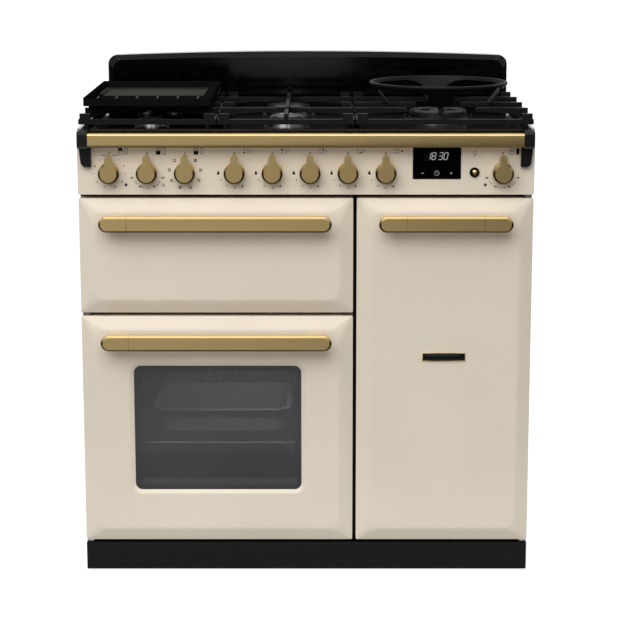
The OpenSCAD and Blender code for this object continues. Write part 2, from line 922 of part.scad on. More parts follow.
// Path of a grill tube: parallel legs from side to side, joined by half turns
function serpentine(x0, x1, y0, y1, z, legs) =
  let (pitch = (y1 - y0) / (legs - 1), r = pitch / 2)
    [for (i = [0 : legs - 1])
      let (y = y0 + i * pitch, right = i % 2 == 0, a = right ? x0 + r : x1 - r, b = right ? x1 - r : x0 + r)
        each concat(
          [[a, y, z], [(a + b) / 2, y, z]],
          i == legs - 1 ? [[b, y, z]]
          : right ? arc(b, y + r, z, r, -90, 90, 6)
          : arc(b, y + r, z, r, 270, 90, 6))];

module elements_and_lamps() {
  grill_roof = grill_floor_z + grill_cavity_h;
  oven_roof = oven_floor_z + left_cavity_h;
  inset = 34;
  color("#e8e4d8") {
    translate([0, 0, oven_roof - lamp_in])
      lamp(left_mid_x - left_cavity_w / 2 + lamp_in);
    translate([0, 0, oven_floor_z + right_cavity_h - lamp_in])
      lamp(right_mid_x + right_cavity_w / 2 - lamp_in);
  }
  color("#5b5552") {
    for (p = [[grill_roof, 8], [oven_roof, 6]])
      level_tube(serpentine(left_mid_x - left_cavity_w / 2 + inset, left_mid_x + left_cavity_w / 2 - inset,
                 cavity_y + 50, cavity_back_y - fan_chamber - 36, p[0] - 16, p[1]), element_r);
    for (roof = [grill_roof, oven_roof])
      for (s = [-1, 1])
        for (y = [cavity_y + 50, cavity_back_y - fan_chamber - 36])
          block([left_mid_x + s * 60 - 3, y - 4, roof - 16],
             [left_mid_x + s * 60 + 3, y + 4, roof]);
    for (p = [[left_mid_x, left_fan_z], [right_mid_x, right_fan_z]])
      translate([p.x, cavity_back_y - 20, p.y])
        rotate([-90, 0, 0]) {
          rotate_extrude()
            translate([fan_r + 14, 0])
              circle(element_r, $fn = 16);
          for (s = [-1, 1])
            translate([0, s * (fan_r + 14), element_r - 0.4])
              cylinder(h = 20 - element_r + 0.4, r = 2, $fn = 16);
        }
  }
}

// Glide-out grill

pan_w = left_cavity_w - 2 * runner_w - 14;
pan_y = cavity_y + grill_pan_set;
pan_d = cavity_d - 60;
pan_t = 1.2;
slide_w = runner_w - 4 - 2 * slide_fit;

// Inner slides and the cross bars that carry the pan
module grill_carriage() {
  half = left_cavity_w / 2;
  tongue = grill_runner_h - 10 - 2 * slide_fit;
  head = grill_runner_h - 4 - 2 * slide_fit;
  color(steel)
    translate([left_mid_x, 0, carriage_z]) {
      for (s = [-1, 1])
        sided(s) {
          block([half - runner_w + 2 + slide_fit, cavity_y + 22, -head / 2],
             [half - 2 - slide_fit, cavity_y + cavity_d - 60, head / 2]);
          block([pan_w / 2 + 1, cavity_y + 22, -tongue / 2],
             [half - runner_w + 2 + slide_fit, cavity_y + cavity_d - 60, tongue / 2]);
          block([pan_w / 2 + 1, pan_y + 4, -grill_pan_h + 8], [pan_w / 2 + 3, pan_y + pan_d - 4, tongue / 2]);
        }
      for (y = [pan_y + 12, pan_y + pan_d - 24])
        block([-pan_w / 2 - 3, y, -grill_pan_h + 6], [pan_w / 2 + 3, y + 12, -grill_pan_h + 8]);
    }
}

// Enamelled grill pan with a rolled front grip
module grill_pan() {
  z = carriage_z - grill_pan_h + 8;
  half = pan_w / 2 - 0.5;
  grip = 90;
  roll = 10;
  color("#232427")
    translate([left_mid_x, pan_y, z])
      difference() {
        union() {
          block([-half, 0, 0], [half, pan_d, grill_pan_h]);
          block([-grip, -roll, grill_pan_h - 8], [grip, 0, grill_pan_h]);
        }
        block([pan_t - half, pan_t, pan_t], [half - pan_t, pan_d - pan_t, grill_pan_h + 1]);
        block([6 - grip, 2 - roll, grill_pan_h - 9], [grip - 6, -1, grill_pan_h - 2]);
      }
}

// Wire trivet on four legs inside the grill pan
module grill_trivet() {
  z = carriage_z - grill_pan_h + 8 + pan_t;
  half = pan_w / 2 - 8;
  y0 = pan_y + 10;
  y1 = pan_y + pan_d - 10;
  rise = 16;
  step = 18;
  frame_rod = 2.5;
  wires = floor((half - 8) / step);
  color(steel)
    translate([left_mid_x, 0, z]) {
      for (y = [y0, y1])
        rod([-half, y, rise], [half, y, rise], frame_rod);
      for (x = [-half, half]) {
        rod([x, y0 - 1.5, rise], [x, y1 + 1.5, rise], frame_rod);
        for (y = [y0 + 6, y1 - 6])
          rod([x, y, 0], [x, y, rise], 2);
      }
      for (i = [-wires : wires])
        rod([i * step, y0, rise + 1.5], [i * step, y1, rise + 1.5], 1.5);
    }
}

// Doors, drawn with the face at y = 0, the lower edge at z = 0 and the middle at x = 0

// Solid form of a door: a raised face with rounded corners and a sloping border
module door_form(w, h, inset) {
  hull() {
    along_y(inset, 0.01)
      translate([0, h / 2])
        rounded(w - 2 * bevel_w - inset, h - 2 * bevel_w - inset, crown_r, $fn = 32);
    along_y(bevel_d + inset * 0.4, door_t - bevel_d + (inset > 0 ? 1 : 0))
      translate([0, h / 2])
        rounded(w - 2 * inset, h - 2 * inset, 3, $fn = 16);
  }
}

module door_skin(w, h) {
  difference() {
    door_form(w, h, 0);
    door_form(w, h, skin_t);
  }
}

// Shape that narrows from the rim's outer edge at the face to the glass behind it
module window_form(grow) {
  rim = win_rim + grow;
  hull() {
    along_y(-0.01, 0.01)
      translate([0, win_lift + win_h / 2])
        rounded(win_w + 2 * rim, win_h + 2 * rim, win_r + rim, $fn = 32);
    along_y(win_rim_d, 0.01)
      translate([0, win_lift + win_h / 2])
        rounded(win_w + 2 * grow, win_h + 2 * grow, win_r + grow, $fn = 32);
  }
}

// Room for the grill door's hinge ears, which turn from the back to the lower edge
module ear_slot(w, s) {
  translate([s * (w / 2 - ear_in - plate_t / 2), door_t - grill_pin_back, grill_pin_up])
    block([-plate_t / 2 - 1.5, -ear_r - 0.4, -grill_pin_up - 1], [plate_t / 2 + 1.5, door_t, ear_r + 1]);
}

ear_in = 14;
ear_r = 4.6;
liner_rim = 14;
hinge_block = 24;

// Outline of a liner, drawn in by an inset
module liner_outline(w, h, inset) {
  edge = skin_t + liner_fit + inset;
  translate([0, h / 2])
    rounded(w - 2 * edge, h - 2 * edge, 3 - inset);
}

// Inner tray of a door: back sheet and a rim that lies inside the skin
module liner_tray(w, h) {
  difference() {
    along_y(door_t - liner_rim, liner_rim)
      liner_outline(w, h, 0);
    along_y(door_t - liner_rim - 1, liner_rim - liner_t + 1)
      liner_outline(w, h, liner_t);
  }
}

// Side-hung liner with a bored block at its top and bottom corners on one side
module side_hung_liner(w, h, s) {
  block_y = door_t - hinge_back - 7;
  difference() {
    union() {
      liner_tray(w, h);
      intersection() {
        along_y(block_y, door_t - liner_t / 2 - block_y)
          liner_outline(w, h, 0);
        for (z = [0, h - hinge_block])
          sided(s)
            block([w / 2 - hinge_side - 11, block_y - 1, z], [w / 2, door_t, z + hinge_block]);
      }
    }
    for (z = [-1, h - pin_l - 2])
      translate([s * (w / 2 - hinge_side), door_t - hinge_back, z])
        cylinder(h = pin_l + 3, r = pin_r + pin_fit);
  }
}

// Hole in the skin that a pin passes through
module pin_holes(w, h, s) {
  for (z = [-1, h - skin_t - 1])
    translate([s * (w / 2 - hinge_side), door_t - hinge_back, z])
      cylinder(h = skin_t + 2, r = pin_r + 1.2);
}

handle_seam = 0.4;

// Length of flat bar with its long front edges chamfered
module grip_bar(x, length) {
  r = handle_h / 2;
  along_x(x, length)
    translate([-handle_reach, 0])
      polygon([
        [0, handle_chamfer - r], [handle_chamfer, -r], [grip_t, -r],
        [grip_t, r], [handle_chamfer, r], [0, r - handle_chamfer],
      ]);
}

// Left end piece of a handle, with a chamfer that runs on round its outer end, and its post
module handle_end_piece() {
  r = handle_h / 2;
  translate([r, 0, 0])
    rotate([-90, 0, 0])
      translate([0, 0, -handle_reach])
        rotate_extrude()
          polygon([[0, 0], [r - handle_chamfer, 0], [r, handle_chamfer], [r, grip_t], [0, grip_t]]);
  grip_bar(r, handle_end - r);
  translate([handle_end / 2, grip_t + weld_gap - handle_reach, 0])
    rotate([-90, 0, 0])
      cylinder(h = handle_reach - grip_t - weld_gap, r = post_r);
}

// Handle: a grip bar between two end pieces, each on a round post
module handle(w, h) {
  half = w / 2 - handle_inset;
  bar_x = handle_end + handle_seam - half;
  color(brass)
    translate([0, 0, h - handle_drop]) {
      grip_bar(bar_x, -2 * bar_x);
      for (s = [-1, 1])
        sided(s)
          translate([-half, 0, 0])
            handle_end_piece();
    }
}

module at_left_door() {
  translate([left_mid_x, face_y, door_z])
    children();
}

module at_right_door() {
  translate([right_mid_x, face_y, door_z])
    children();
}

module at_grill_door() {
  translate([left_mid_x, face_y, grill_z])
    children();
}

module left_door_panel() {
  color(paint)
    at_left_door()
      difference() {
        union() {
          door_skin(left_door_w, oven_door_h);
          window_form(skin_t);
        }
        window_form(0);
        along_y(win_rim_d - 0.5, 2)
          translate([0, win_lift + win_h / 2])
            rounded(win_w, win_h, win_r, $fn = 32);
        pin_holes(left_door_w, oven_door_h, -1);
      }
}

pane_lap = 14;
pane_frame = 1.5;
outer_pane_y = win_rim_d + 0.02;
inner_pane_y = door_t - liner_t - glass_t;

module left_door_glass() {
  outer = 2 * (pane_lap + pane_frame + 3);
  color("#55585c")
    at_left_door()
      translate([0, 0, win_lift + win_h / 2]) {
        along_y(outer_pane_y, glass_t)
          rounded(win_w + outer, win_h + outer, 6);
        along_y(inner_pane_y, glass_t)
          rounded(win_w + 2 * pane_lap, win_h + 2 * pane_lap, 4);
      }
}

module left_door_liner() {
  inner = 2 * (pane_lap + liner_fit);
  start = outer_pane_y + glass_t;
  color("#2c2d2f")
    at_left_door() {
      difference() {
        union() {
          side_hung_liner(left_door_w, oven_door_h, -1);
          along_y(start, door_t - start)
            translate([0, win_lift + win_h / 2])
              rounded(win_w + inner + 2 * pane_frame, win_h + inner + 2 * pane_frame, 4 + pane_frame);
        }
        along_y(start - 1, door_t - liner_t - start + 1)
          translate([0, win_lift + win_h / 2])
            rounded(win_w + inner, win_h + inner, 4);
        along_y(start, door_t)
          translate([0, win_lift + win_h / 2])
            rounded(win_w + 8, win_h + 8, 10);
      }
    }
}

module left_door_handle() {
  at_left_door()
    handle(left_door_w, oven_door_h);
}

module right_door_panel() {
  color(paint)
    at_right_door()
      difference() {
        door_skin(right_door_w, tall_door_h);
        pin_holes(right_door_w, tall_door_h, 1);
      }
}

module right_door_liner() {
  color("#2c2d2f")
    at_right_door()
      side_hung_liner(right_door_w, tall_door_h, 1);
}

module right_door_handle() {
  at_right_door()
    handle(right_door_w, tall_door_h);
}

module grill_door_panel() {
  color(paint)
    at_grill_door()
      difference() {
        door_skin(left_door_w, grill_door_h);
        for (s = [-1, 1])
          ear_slot(left_door_w, s);
      }
}

module grill_door_liner() {
  block_x = left_door_w / 2 - ear_in - plate_t - 1.5;
  edge = skin_t + liner_fit;
  front = door_t - grill_pin_back - 5;
  back = door_t - liner_t / 2;
  top = grill_pin_up + 9;
  color("#2c2d2f")
    at_grill_door()
      difference() {
        union() {
          liner_tray(left_door_w, grill_door_h);
          for (s = [-1, 1])
            sided(s)
              along_x(block_x - pin_l - 4, pin_l + 4)
                polygon([[front, edge + 5], [front + 3, edge], [back, edge], [back, top], [front, top]]);
        }
        for (s = [-1, 1]) {
          ear_slot(left_door_w, s);
          sided(s)
            translate([block_x - pin_l - 2, door_t - grill_pin_back, grill_pin_up])
              rotate([0, 90, 0])
                cylinder(h = pin_l + 4, r = grill_pin_r + pin_fit);
        }
      }
}

module grill_door_handle() {
  at_grill_door()
    handle(left_door_w, grill_door_h);
}

// Plate in the gap beside an oven door's edge, with its pin standing up or down
module hinge_plate(x, z_gap, gap, up) {
  y = door_back_y - hinge_back;
  r = 8;
  z = z_gap + (gap - plate_t) / 2;
  translate([x, 0, 0]) {
    translate([0, y, z])
      cylinder(h = plate_t, r = r);
    block([-r, y, z], [r, frame_y, z + plate_t]);
    translate([0, y, up ? z : z_gap - pin_l])
      cylinder(h = (gap + plate_t) / 2 + pin_l, r = pin_r);
  }
}

module grill_ear(s) {
  y = door_back_y - grill_pin_back;
  z = grill_z + grill_pin_up;
  translate([left_mid_x, 0, 0])
    sided(s)
      translate([left_door_w / 2 - ear_in - plate_t, 0, 0]) {
        along_x(0, plate_t) {
          translate([y, z])
            circle(ear_r);
          translate([y, z - ear_r])
            square([frame_y - y, 2 * ear_r]);
        }
        translate([-pin_l, y, z])
          rotate([0, 90, 0])
            cylinder(h = pin_l + plate_t / 2, r = grill_pin_r);
      }
}

module hinge_pins() {
  color(steel) {
    hinge_plate(left_x + hinge_side, door_z - plinth_gap, plinth_gap, true);
    hinge_plate(left_x + hinge_side, door_z + oven_door_h, door_gap, false);
    hinge_plate(-left_x - hinge_side, door_z - plinth_gap, plinth_gap, true);
    hinge_plate(-left_x - hinge_side, doors_top_z, panel_gap, false);
    for (s = [-1, 1])
      grill_ear(s);
  }
}

// Control panel

hole_fit = 1;
clock_bezel = 2;

module control_panel() {
  depth = frame_y - panel_y;
  color(paint)
    difference() {
      along_y(panel_y, depth)
        translate([0, panel_z + panel_h / 2])
          rounded(cooker_w, panel_h, 2.5);
      along_y(panel_y + panel_t, depth)
        translate([0, panel_z + panel_h / 2])
          rounded(cooker_w - 2 * panel_t, panel_h - 2 * panel_t, 1);
      for (x = concat([for (i = [0 : 2]) oven_knob_x(i)], [for (i = [0 : 4]) hob_knob_x(i)], [right_knob_x]))
        translate([x, panel_y - 1, knob_z])
          rotate([-90, 0, 0])
            cylinder(h = panel_t + 2, r = shaft_r + hole_fit);
      translate([button_x, panel_y - 1, knob_z])
        rotate([-90, 0, 0])
          cylinder(h = panel_t + 2, r = button_r + 2);
      block([clock_x - clock_w / 2 + clock_bezel, panel_y - 1, clock_z - clock_h / 2 + clock_bezel],
         [clock_x + clock_w / 2 - clock_bezel, panel_y + panel_t + 1, clock_z + clock_h / 2 - clock_bezel]);
    }
}

clock_z = panel_z + clock_up;
clock_glass = 1.2;
button_travel = 3;
button_reach = 7;

// Clock glass with its housing behind the panel, and the light button's sleeve
module clock_and_button_bezel() {
  lap = clock_bezel + slide_fit;
  clock_body_d = 30;
  color(enamel) {
    along_y(panel_y - clock_glass, clock_glass)
      translate([clock_x, clock_z])
        rounded(clock_w, clock_h, 2);
    translate([clock_x, panel_y, clock_z])
      block([lap - clock_w / 2, 0, lap - clock_h / 2], [clock_w / 2 - lap, clock_body_d, clock_h / 2 - lap]);
    translate([button_x, panel_y, knob_z])
      rotate([-90, 0, 0])
        difference() {
          union() {
            translate([0, 0, -4])
              cylinder(h = 4, r1 = button_r + 2.8, r2 = button_r + 4);
            cylinder(h = 22, r = button_r + 1.9);
          }
          translate([0, 0, -5])
            cylinder(h = 22, r = button_r + pin_fit);
        }
  }
}

module light_button() {
  color(brass)
    translate([button_x, panel_y - button_reach, knob_z])
      rotate([-90, 0, 0])
        rotate_extrude()
          polygon([
            for (a = [0 : 15 : 90]) [button_r * sin(a), button_crown * (1 - cos(a))],
            [button_r, button_reach + 13.5 - button_travel], [0, button_reach + 13.5 - button_travel],
          ]);
}

knob_gap = 1.5;
shaft_l = 16;

// Taps and switches bolted behind the panel, the gas rail that feeds the taps, and its inlet at the back
module gas_taps_and_switches() {
  back = panel_y + panel_t;
  pipe_r = 6.5;
  half = 8;
  main_y = back + 24;
  main_top = knob_z - tap_low - weld_gap;
  pipe_y = main_y + 2 * half + weld_gap;
  pipe_l = rear_y + rear_t + 2 - pipe_y;
  color(steel) {
    for (x = [oven_knob_x(0), oven_knob_x(1), oven_knob_x(2), right_knob_x])
      switch_body(x, back);
    for (i = [0 : 4])
      tap_body(hob_knob_x(i), back);
    block([hob_knob_x(0) - 20, main_y, main_top - 2 * half],
       [gas_inlet_x - half - weld_gap, main_y + 2 * half, main_top]);
    block([gas_inlet_x - half, main_y, main_top - 2 * half],
       [gas_inlet_x + half, main_y + 2 * half, gas_inlet_z + half]);
    translate([gas_inlet_x, pipe_y, gas_inlet_z])
      rotate([-90, 0, 0]) {
        cylinder(h = pipe_l, r = pipe_r);
        translate([0, 0, pipe_l - 20])
          cylinder(h = 16, r = 12, $fn = 6);
        translate([0, 0, pipe_l - 4])
          cylinder(h = inlet_l, r = inlet_r);
      }
  }
}

tap_low = 16;

module switch_body(x, y) {
  half = 19;
  difference() {
    block([x - half, y, knob_z - half], [x + half, y + 34, knob_z + half]);
    shaft_bore(x, y);
  }
}

module tap_body(x, y) {
  half = 12;
  difference() {
    block([x - half, y, knob_z - tap_low], [x + half, y + 38, knob_z + tap_low - 2]);
    shaft_bore(x, y);
  }
}

// Bore that a knob's shaft turns in
module shaft_bore(x, y) {
  translate([x, y - 1, knob_z])
    rotate([-90, 0, 0])
      cylinder(h = shaft_l + 3, r = shaft_r + pin_fit);
}

// Thumb-lever knob: a turned body with a lever flush with its face
module knob(x) {
  lever_d = 13;
  color(brass)
    translate([x, panel_y - knob_gap - knob_d, knob_z])
      rotate([-90, 0, 0]) {
        rotate_extrude()
          polygon([
            [0, 0], [knob_r - knob_slope, 0], [knob_r, knob_slope + 1], [knob_r, knob_d - 2],
            [knob_r - 2, knob_d], [0, knob_d],
          ]);
        linear_extrude(lever_d) {
          translate([0, lever_w / 2 - lever_l])
            circle(lever_w / 2);
          translate([-lever_w / 2, lever_w / 2 - lever_l])
            square([lever_w, lever_l - lever_w / 2]);
        }
        cylinder(h = knob_d + knob_gap + panel_t + shaft_l, r = shaft_r);
      }
}

// Handrail

rail_y = panel_y - rail_reach;
rail_z = rim_z - rail_drop - rail_h;
rail_half = cooker_w / 2 - bracket_inset - bracket_w;

module handrail() {
  top_edge = 3;
  bottom_edge = 5;
  color(brass)
    along_x(-rail_half, 2 * rail_half)
      polygon([
        [rail_y, rail_z + bottom_edge], [rail_y + bottom_edge * 0.6, rail_z], [rail_y + rail_t - 2, rail_z],
        [rail_y + rail_t, rail_z + 2], [rail_y + rail_t, rail_z + rail_h - 2],
        [rail_y + rail_t - 2, rail_z + rail_h], [rail_y + top_edge, rail_z + rail_h],
        [rail_y, rail_z + rail_h - top_edge],
      ]);
}

// Moulded bracket: a block that grips the rail's end, and a tapered leg on the panel
module handrail_brackets() {
  leg_z = rail_z - bracket_leg;
  leg_d = 12;
  color(black)
    for (s = [-1, 1])
      sided(s) {
        along_x(rail_half, bracket_w)
          polygon([
            [rail_y - 1, rail_z + 2], [rail_y + 3, rail_z - 2], [panel_y, rail_z - 2],
            [panel_y, hob_z], [hob_y - slide_fit, hob_z], [hob_y - slide_fit, rim_z],
            [rail_y + 5, rim_z], [rail_y - 1, rim_z - 6],
          ]);
        along_y(panel_y - leg_d, leg_d)
          polygon([
            [rail_half - 4, rail_z + 1], [rail_half - 4, leg_z], [rail_half + bracket_w / 2, leg_z],
            [rail_half + bracket_w * 0.8, leg_z + 6], [rail_half + bracket_w, rail_z + 1],
          ]);
      }
}

// Hob

// Pressed tray with a raised rim, a well and a hole under each burner
module hob_tray() {
  depth = splash_y - hob_y;
  whole = back_y - hob_y;
  mid = hob_y + depth / 2;
  color(enamel)
    difference() {
      translate([0, hob_y + whole / 2, hob_z])
        linear_extrude(hob_rim_h)
          rounded(cooker_w, whole, 8);
      translate([0, mid, well_z])
        linear_extrude(hob_rim_h)
          rounded(cooker_w - 2 * hob_rim_w, depth - 2 * hob_rim_w, 6);
      translate([0, hob_y + whole / 2, hob_z - 1])
        linear_extrude(well_z - hob_t - hob_z + 1)
          rounded(cooker_w - 2 * hob_t, whole - 2 * hob_t, 6.5);
      for (b = burners)
        translate([b.x, b.y, hob_z - 1])
          cylinder(h = hob_rim_h, r = b.z * 0.6);
      translate([wok_x, row_y(2), hob_z - 1])
        cylinder(h = hob_rim_h, r = wok_r * 0.6);
    }
}

splash_y = back_y - splash_t;

// Outline of the splashback: straight sides, rounded corners and an arched top
module splash_outline(w, h, arch, r) {
  arch_r = (w * w / 4 + arch * arch) / (2 * arch);
  steps = 20;
  offset(r)
    offset(delta = -r)
      polygon([
        [-w / 2, 0], [w / 2, 0],
        for (i = [0 : steps]) let (x = w / 2 - w * i / steps) [x, h - arch_r + sqrt(arch_r * arch_r - x * x)],
      ]);
  translate([-w / 2, 0])
    square([w, h / 2]);
}

// Solid form of the splashback: a front face with a slope round its sides and top
module splash_form(inset) {
  slope = 12;
  face_in = splash_bevel + inset;
  hull() {
    along_y(splash_y + inset, 0.01)
      translate([0, rim_z])
        splash_outline(splash_w - 2 * face_in, splash_h - face_in, splash_arch * 0.85, splash_r);
    along_y(splash_y + slope + inset * 0.6, splash_t - slope + (inset > 0 ? 1 : 0))
      translate([0, rim_z])
        splash_outline(splash_w - 2 * inset, splash_h - inset, splash_arch, splash_r);
  }
}

module splashback() {
  color(enamel)
    difference() {
      splash_form(0);
      difference() {
        splash_form(2);
        block([left_x, splash_y, rim_z - 1], [-left_x, back_y + 2, rim_z + 2]);
      }
    }
}

// Fixed part of each burner: a cup on the well with its jet holder below, and the spark plug beside it
module burner_base(x, y, r) {
  skirt = 4;
  holder = 12;
  plug_out = r + skirt + 5;
  translate([x, y, 0]) {
    translate([0, 0, well_z])
      cylinder(h = base_h, r1 = r + skirt, r2 = r + skirt - 2);
    translate([0, 0, hob_z - holder])
      cylinder(h = well_z - hob_z + holder + 1, r = r * 0.6 - 1);
    for (p = [[-plug_out, 3, 5], [plug_out, 2.2, 6]])
      translate([p[0], 0, well_z])
        cylinder(h = base_h + p[2], r = p[1]);
    block([-plug_out, -2, well_z], [plug_out, 2, well_z + 3]);
  }
}

module burner_bases() {
  color(steel) {
    for (b = burners)
      burner_base(b.x, b.y, b.z);
    burner_base(wok_x, row_y(2), wok_r);
  }
}

// Crown of a burner, with its flame ports cut round the edge
module burner_head(x, y, r, ports) {
  z = well_z + base_h;
  port = 2;
  color(steel)
    translate([x, y, z])
      difference() {
        union() {
          cylinder(h = 3, r = r - 3);
          translate([0, 0, 2.9])
            cylinder(h = head_h - 2.9, r = r);
        }
        for (k = [0 : ports - 1])
          rotate([0, 0, 360 * k / ports])
            block([r - 6, -port / 2, head_h - 4], [r + 1, port / 2, head_h + 1]);
      }
}

wok_inner_r = 20;
wok_channel = 18;

module burner_heads() {
  for (b = burners)
    burner_head(b.x, b.y, b.z, 2 * floor(b.z / 2.4));
  difference() {
    burner_head(wok_x, row_y(2), wok_r, 48);
    translate([wok_x, row_y(2), well_z + base_h + 2])
      difference() {
        cylinder(h = head_h, r = wok_r - wok_channel);
        translate([0, 0, -1])
          cylinder(h = head_h + 2, r = wok_inner_r);
      }
  }
}

// Black enamelled caps: discs on the four burners, and a ring and a disc on the wok burner
module burner_caps() {
  z = well_z + base_h + head_h;
  color(enamel) {
    for (b = burners)
      translate([b.x, b.y, z])
        cap_disc(b.z - 2);
    translate([wok_x, row_y(2), z]) {
      cap_disc(wok_inner_r - 2);
      rotate_extrude()
        polygon([[wok_r - wok_channel + 1, 0], [wok_r - 1, 0], [wok_r - 1, cap_t * 0.5],
            [wok_r - 4, cap_t], [wok_r - wok_channel + 4, cap_t], [wok_r - wok_channel + 1, cap_t * 0.5]]);
    }
  }
}

module cap_disc(r) {
  rotate_extrude()
    polygon([[0, 0], [r, 0], [r, cap_t * 0.45], [r * 0.86, cap_t * 0.85], [r * 0.5, cap_t], [0, cap_t]]);
}

// Cast-iron pan supports

// Outer frame with a raised lug at each end of every row and a foot under each corner
module support_frame(w) {
  lug_in = 2.5;
  foot_in = hob_rim_w + 7;
  difference() {
    block([0, 0, bar_z], [w, support_d, lug_z]);
    block([bar_t, bar_t, bar_z - 1], [w - bar_t, support_d - bar_t, lug_z + 1]);
  }
  for (i = [0 : 4])
    for (x = [lug_in, w - lug_in - lug_l])
      block([x, i * row_pitch, lug_z - 1], [x + lug_l, i * row_pitch + bar_t, finger_z]);
  for (x = [foot_in, w - foot_in])
    for (y = [bar_t / 2, support_d - bar_t / 2])
      translate([x, y, well_z])
        cylinder(h = bar_up + 1, r1 = 4.5, r2 = 5.2);
}

// Tapered finger along +X from the origin, its top level with the lugs
module finger(length) {
  tip_h = 8;
  translate([0, finger_t / 2, 0])
    rotate([90, 0, 0])
      linear_extrude(finger_t)
        polygon([
          [0, bar_z], [bar_t, bar_z], [bar_t + length * 0.18, lug_z - 2],
          [length * 0.55, finger_z - tip_h - 2], [length, finger_z - tip_h], [length, finger_z - 2],
          [length - 3, finger_z], [0, finger_z],
        ]);
}

// Support over a front and a rear burner: a middle bar and four fingers to each burner
module twin_support(front_r, rear_r) {
  w = support_w;
  color(cast) {
    support_frame(w);
    for (p = [[1, front_r], [3, rear_r]]) {
      y = p[0] * row_pitch + bar_t / 2;
      reach = w / 2 - tip_clear - p[1] * 0.45;
      translate([0, y, 0])
        finger(reach);
      translate([w, y, 0])
        rotate([0, 0, 180])
          finger(reach);
      reach_y = row_pitch - tip_clear - p[1] * 0.45 + bar_t / 2;
      translate([w / 2, y - row_pitch - bar_t / 2, 0])
        rotate([0, 0, 90])
          finger(reach_y);
      translate([w / 2, y + row_pitch + bar_t / 2, 0])
        rotate([0, 0, -90])
          finger(reach_y);
    }
    block([0, 2 * row_pitch + 1, bar_z], [w, 2 * row_pitch + bar_t - 1, lug_z]);
  }
}

module left_pan_support() {
  translate([support_left_x, support_y, 0])
    twin_support(small_r, mid_r);
}

module centre_pan_support() {
  translate([support_centre_x, support_y, 0])
    twin_support(mid_r, big_r);
}

// Support over the wok burner: four long fingers and four short diagonal ones
module right_pan_support() {
  w = wok_support_w;
  mid_y = 2 * row_pitch + bar_t / 2;
  r = wok_r - 14;
  color(cast)
    translate([support_right_x, support_y, 0]) {
      support_frame(w);
      for (a = [0, 180])
        translate([w / 2, mid_y, 0])
          rotate([0, 0, a]) {
            translate([-w / 2, 0, 0])
              finger(w / 2 - r);
            translate([0, -support_d / 2, 0])
              rotate([0, 0, 90])
                finger(support_d / 2 - r);
          }
      for (i = [1, 3])
        for (s = [0, 1])
          translate([s * w, i * row_pitch + bar_t / 2, 0])
            rotate([0, 0, s * 180])
              finger(w * 0.3);
    }
}

// Griddle: a cast tray on four feet, with a narrower base, a grooved right wall and drain nubs
griddle_y = support_y + 72;

module griddle() {
  x = left_col_x - griddle_shift;
  mid = griddle_y + griddle_d / 2;
  wall = 7;
  grooved_wall = 20;
  front_wall = 9;
  plate = 4.5;
  base_l = 6;
  base_in = 10;
  lip = 4.5;
  rebate = 2.5;
  inner_w = griddle_w - wall - grooved_wall;
  inner_d = griddle_d - 2 * front_wall;
  inner_x = (wall - grooved_wall) / 2;
  nub_pitch = (griddle_w - 17) / 6;
  color(cast)
    translate([x, mid, finger_z + griddle_foot]) {
      difference() {
        union() {
          translate([0, 0, base_l])
            linear_extrude(griddle_h - base_l)
              rounded(griddle_w, griddle_d, 9);
          linear_extrude(base_l + 1)
            rounded(griddle_w - 2 * base_in, griddle_d - 2 * base_in, 6);
        }
        translate([inner_x, 0, base_l + 2.5])
          linear_extrude(griddle_h)
            rounded(inner_w, inner_d, 5);
        translate([inner_x, 0, plate])
          linear_extrude(griddle_h)
            rounded(inner_w - 14, inner_d - 12, 5);
        translate([0, 0, griddle_h - rebate])
          linear_extrude(griddle_h)
            rounded(griddle_w - 2 * lip, griddle_d - 2 * lip, 7);
      }
      for (i = [-2.5 : 2.5])
        translate([i * nub_pitch, -inner_d / 2 - 1, plate])
          block([-3, 0, 0], [3, 9, griddle_h - rebate - plate]);
      for (sx = [-1, 1])
        for (row = [1, 3])
          translate([sx * (griddle_w / 2 - 18), row_y(row) - mid, -griddle_foot])
            cylinder(h = griddle_foot + 1, r = 6);
    }
}

// Wok cradle: a conical ring on four flared legs that stand on the long fingers
module wok_cradle() {
  band = 6;
  foot_in = 34;
  t = 6;
  low_r = cradle_r - foot_in;
  window_h = cradle_h - band - 1.5;
  window = [[0.55, -0.03], [0.6, 0.38], [0.635, 0.71], [0.53, 0.93], [0.36, 1]];
  color(cast)
    translate([wok_x, row_y(2), finger_z])
      difference() {
        rotate_extrude($fn = 96)
          polygon([
            [low_r - t, 0], [low_r, 0], [cradle_r - 2, cradle_h - band], [cradle_r, cradle_h - band + 1],
            [cradle_r, cradle_h - 1.5], [cradle_r - 1.5, cradle_h], [cradle_r - t, cradle_h],
            [cradle_r - t - 3, cradle_h - band - 2],
          ]);
        for (a = [45 : 90 : 315])
          rotate([0, 0, a])
            along_x(20, cradle_r)
              polygon(concat(
                [for (p = window) [low_r * p.x, window_h * p.y]],
                [for (i = [len(window) - 1 : -1 : 0]) [-low_r * window[i].x, window_h * window[i].y]]));
      }
}

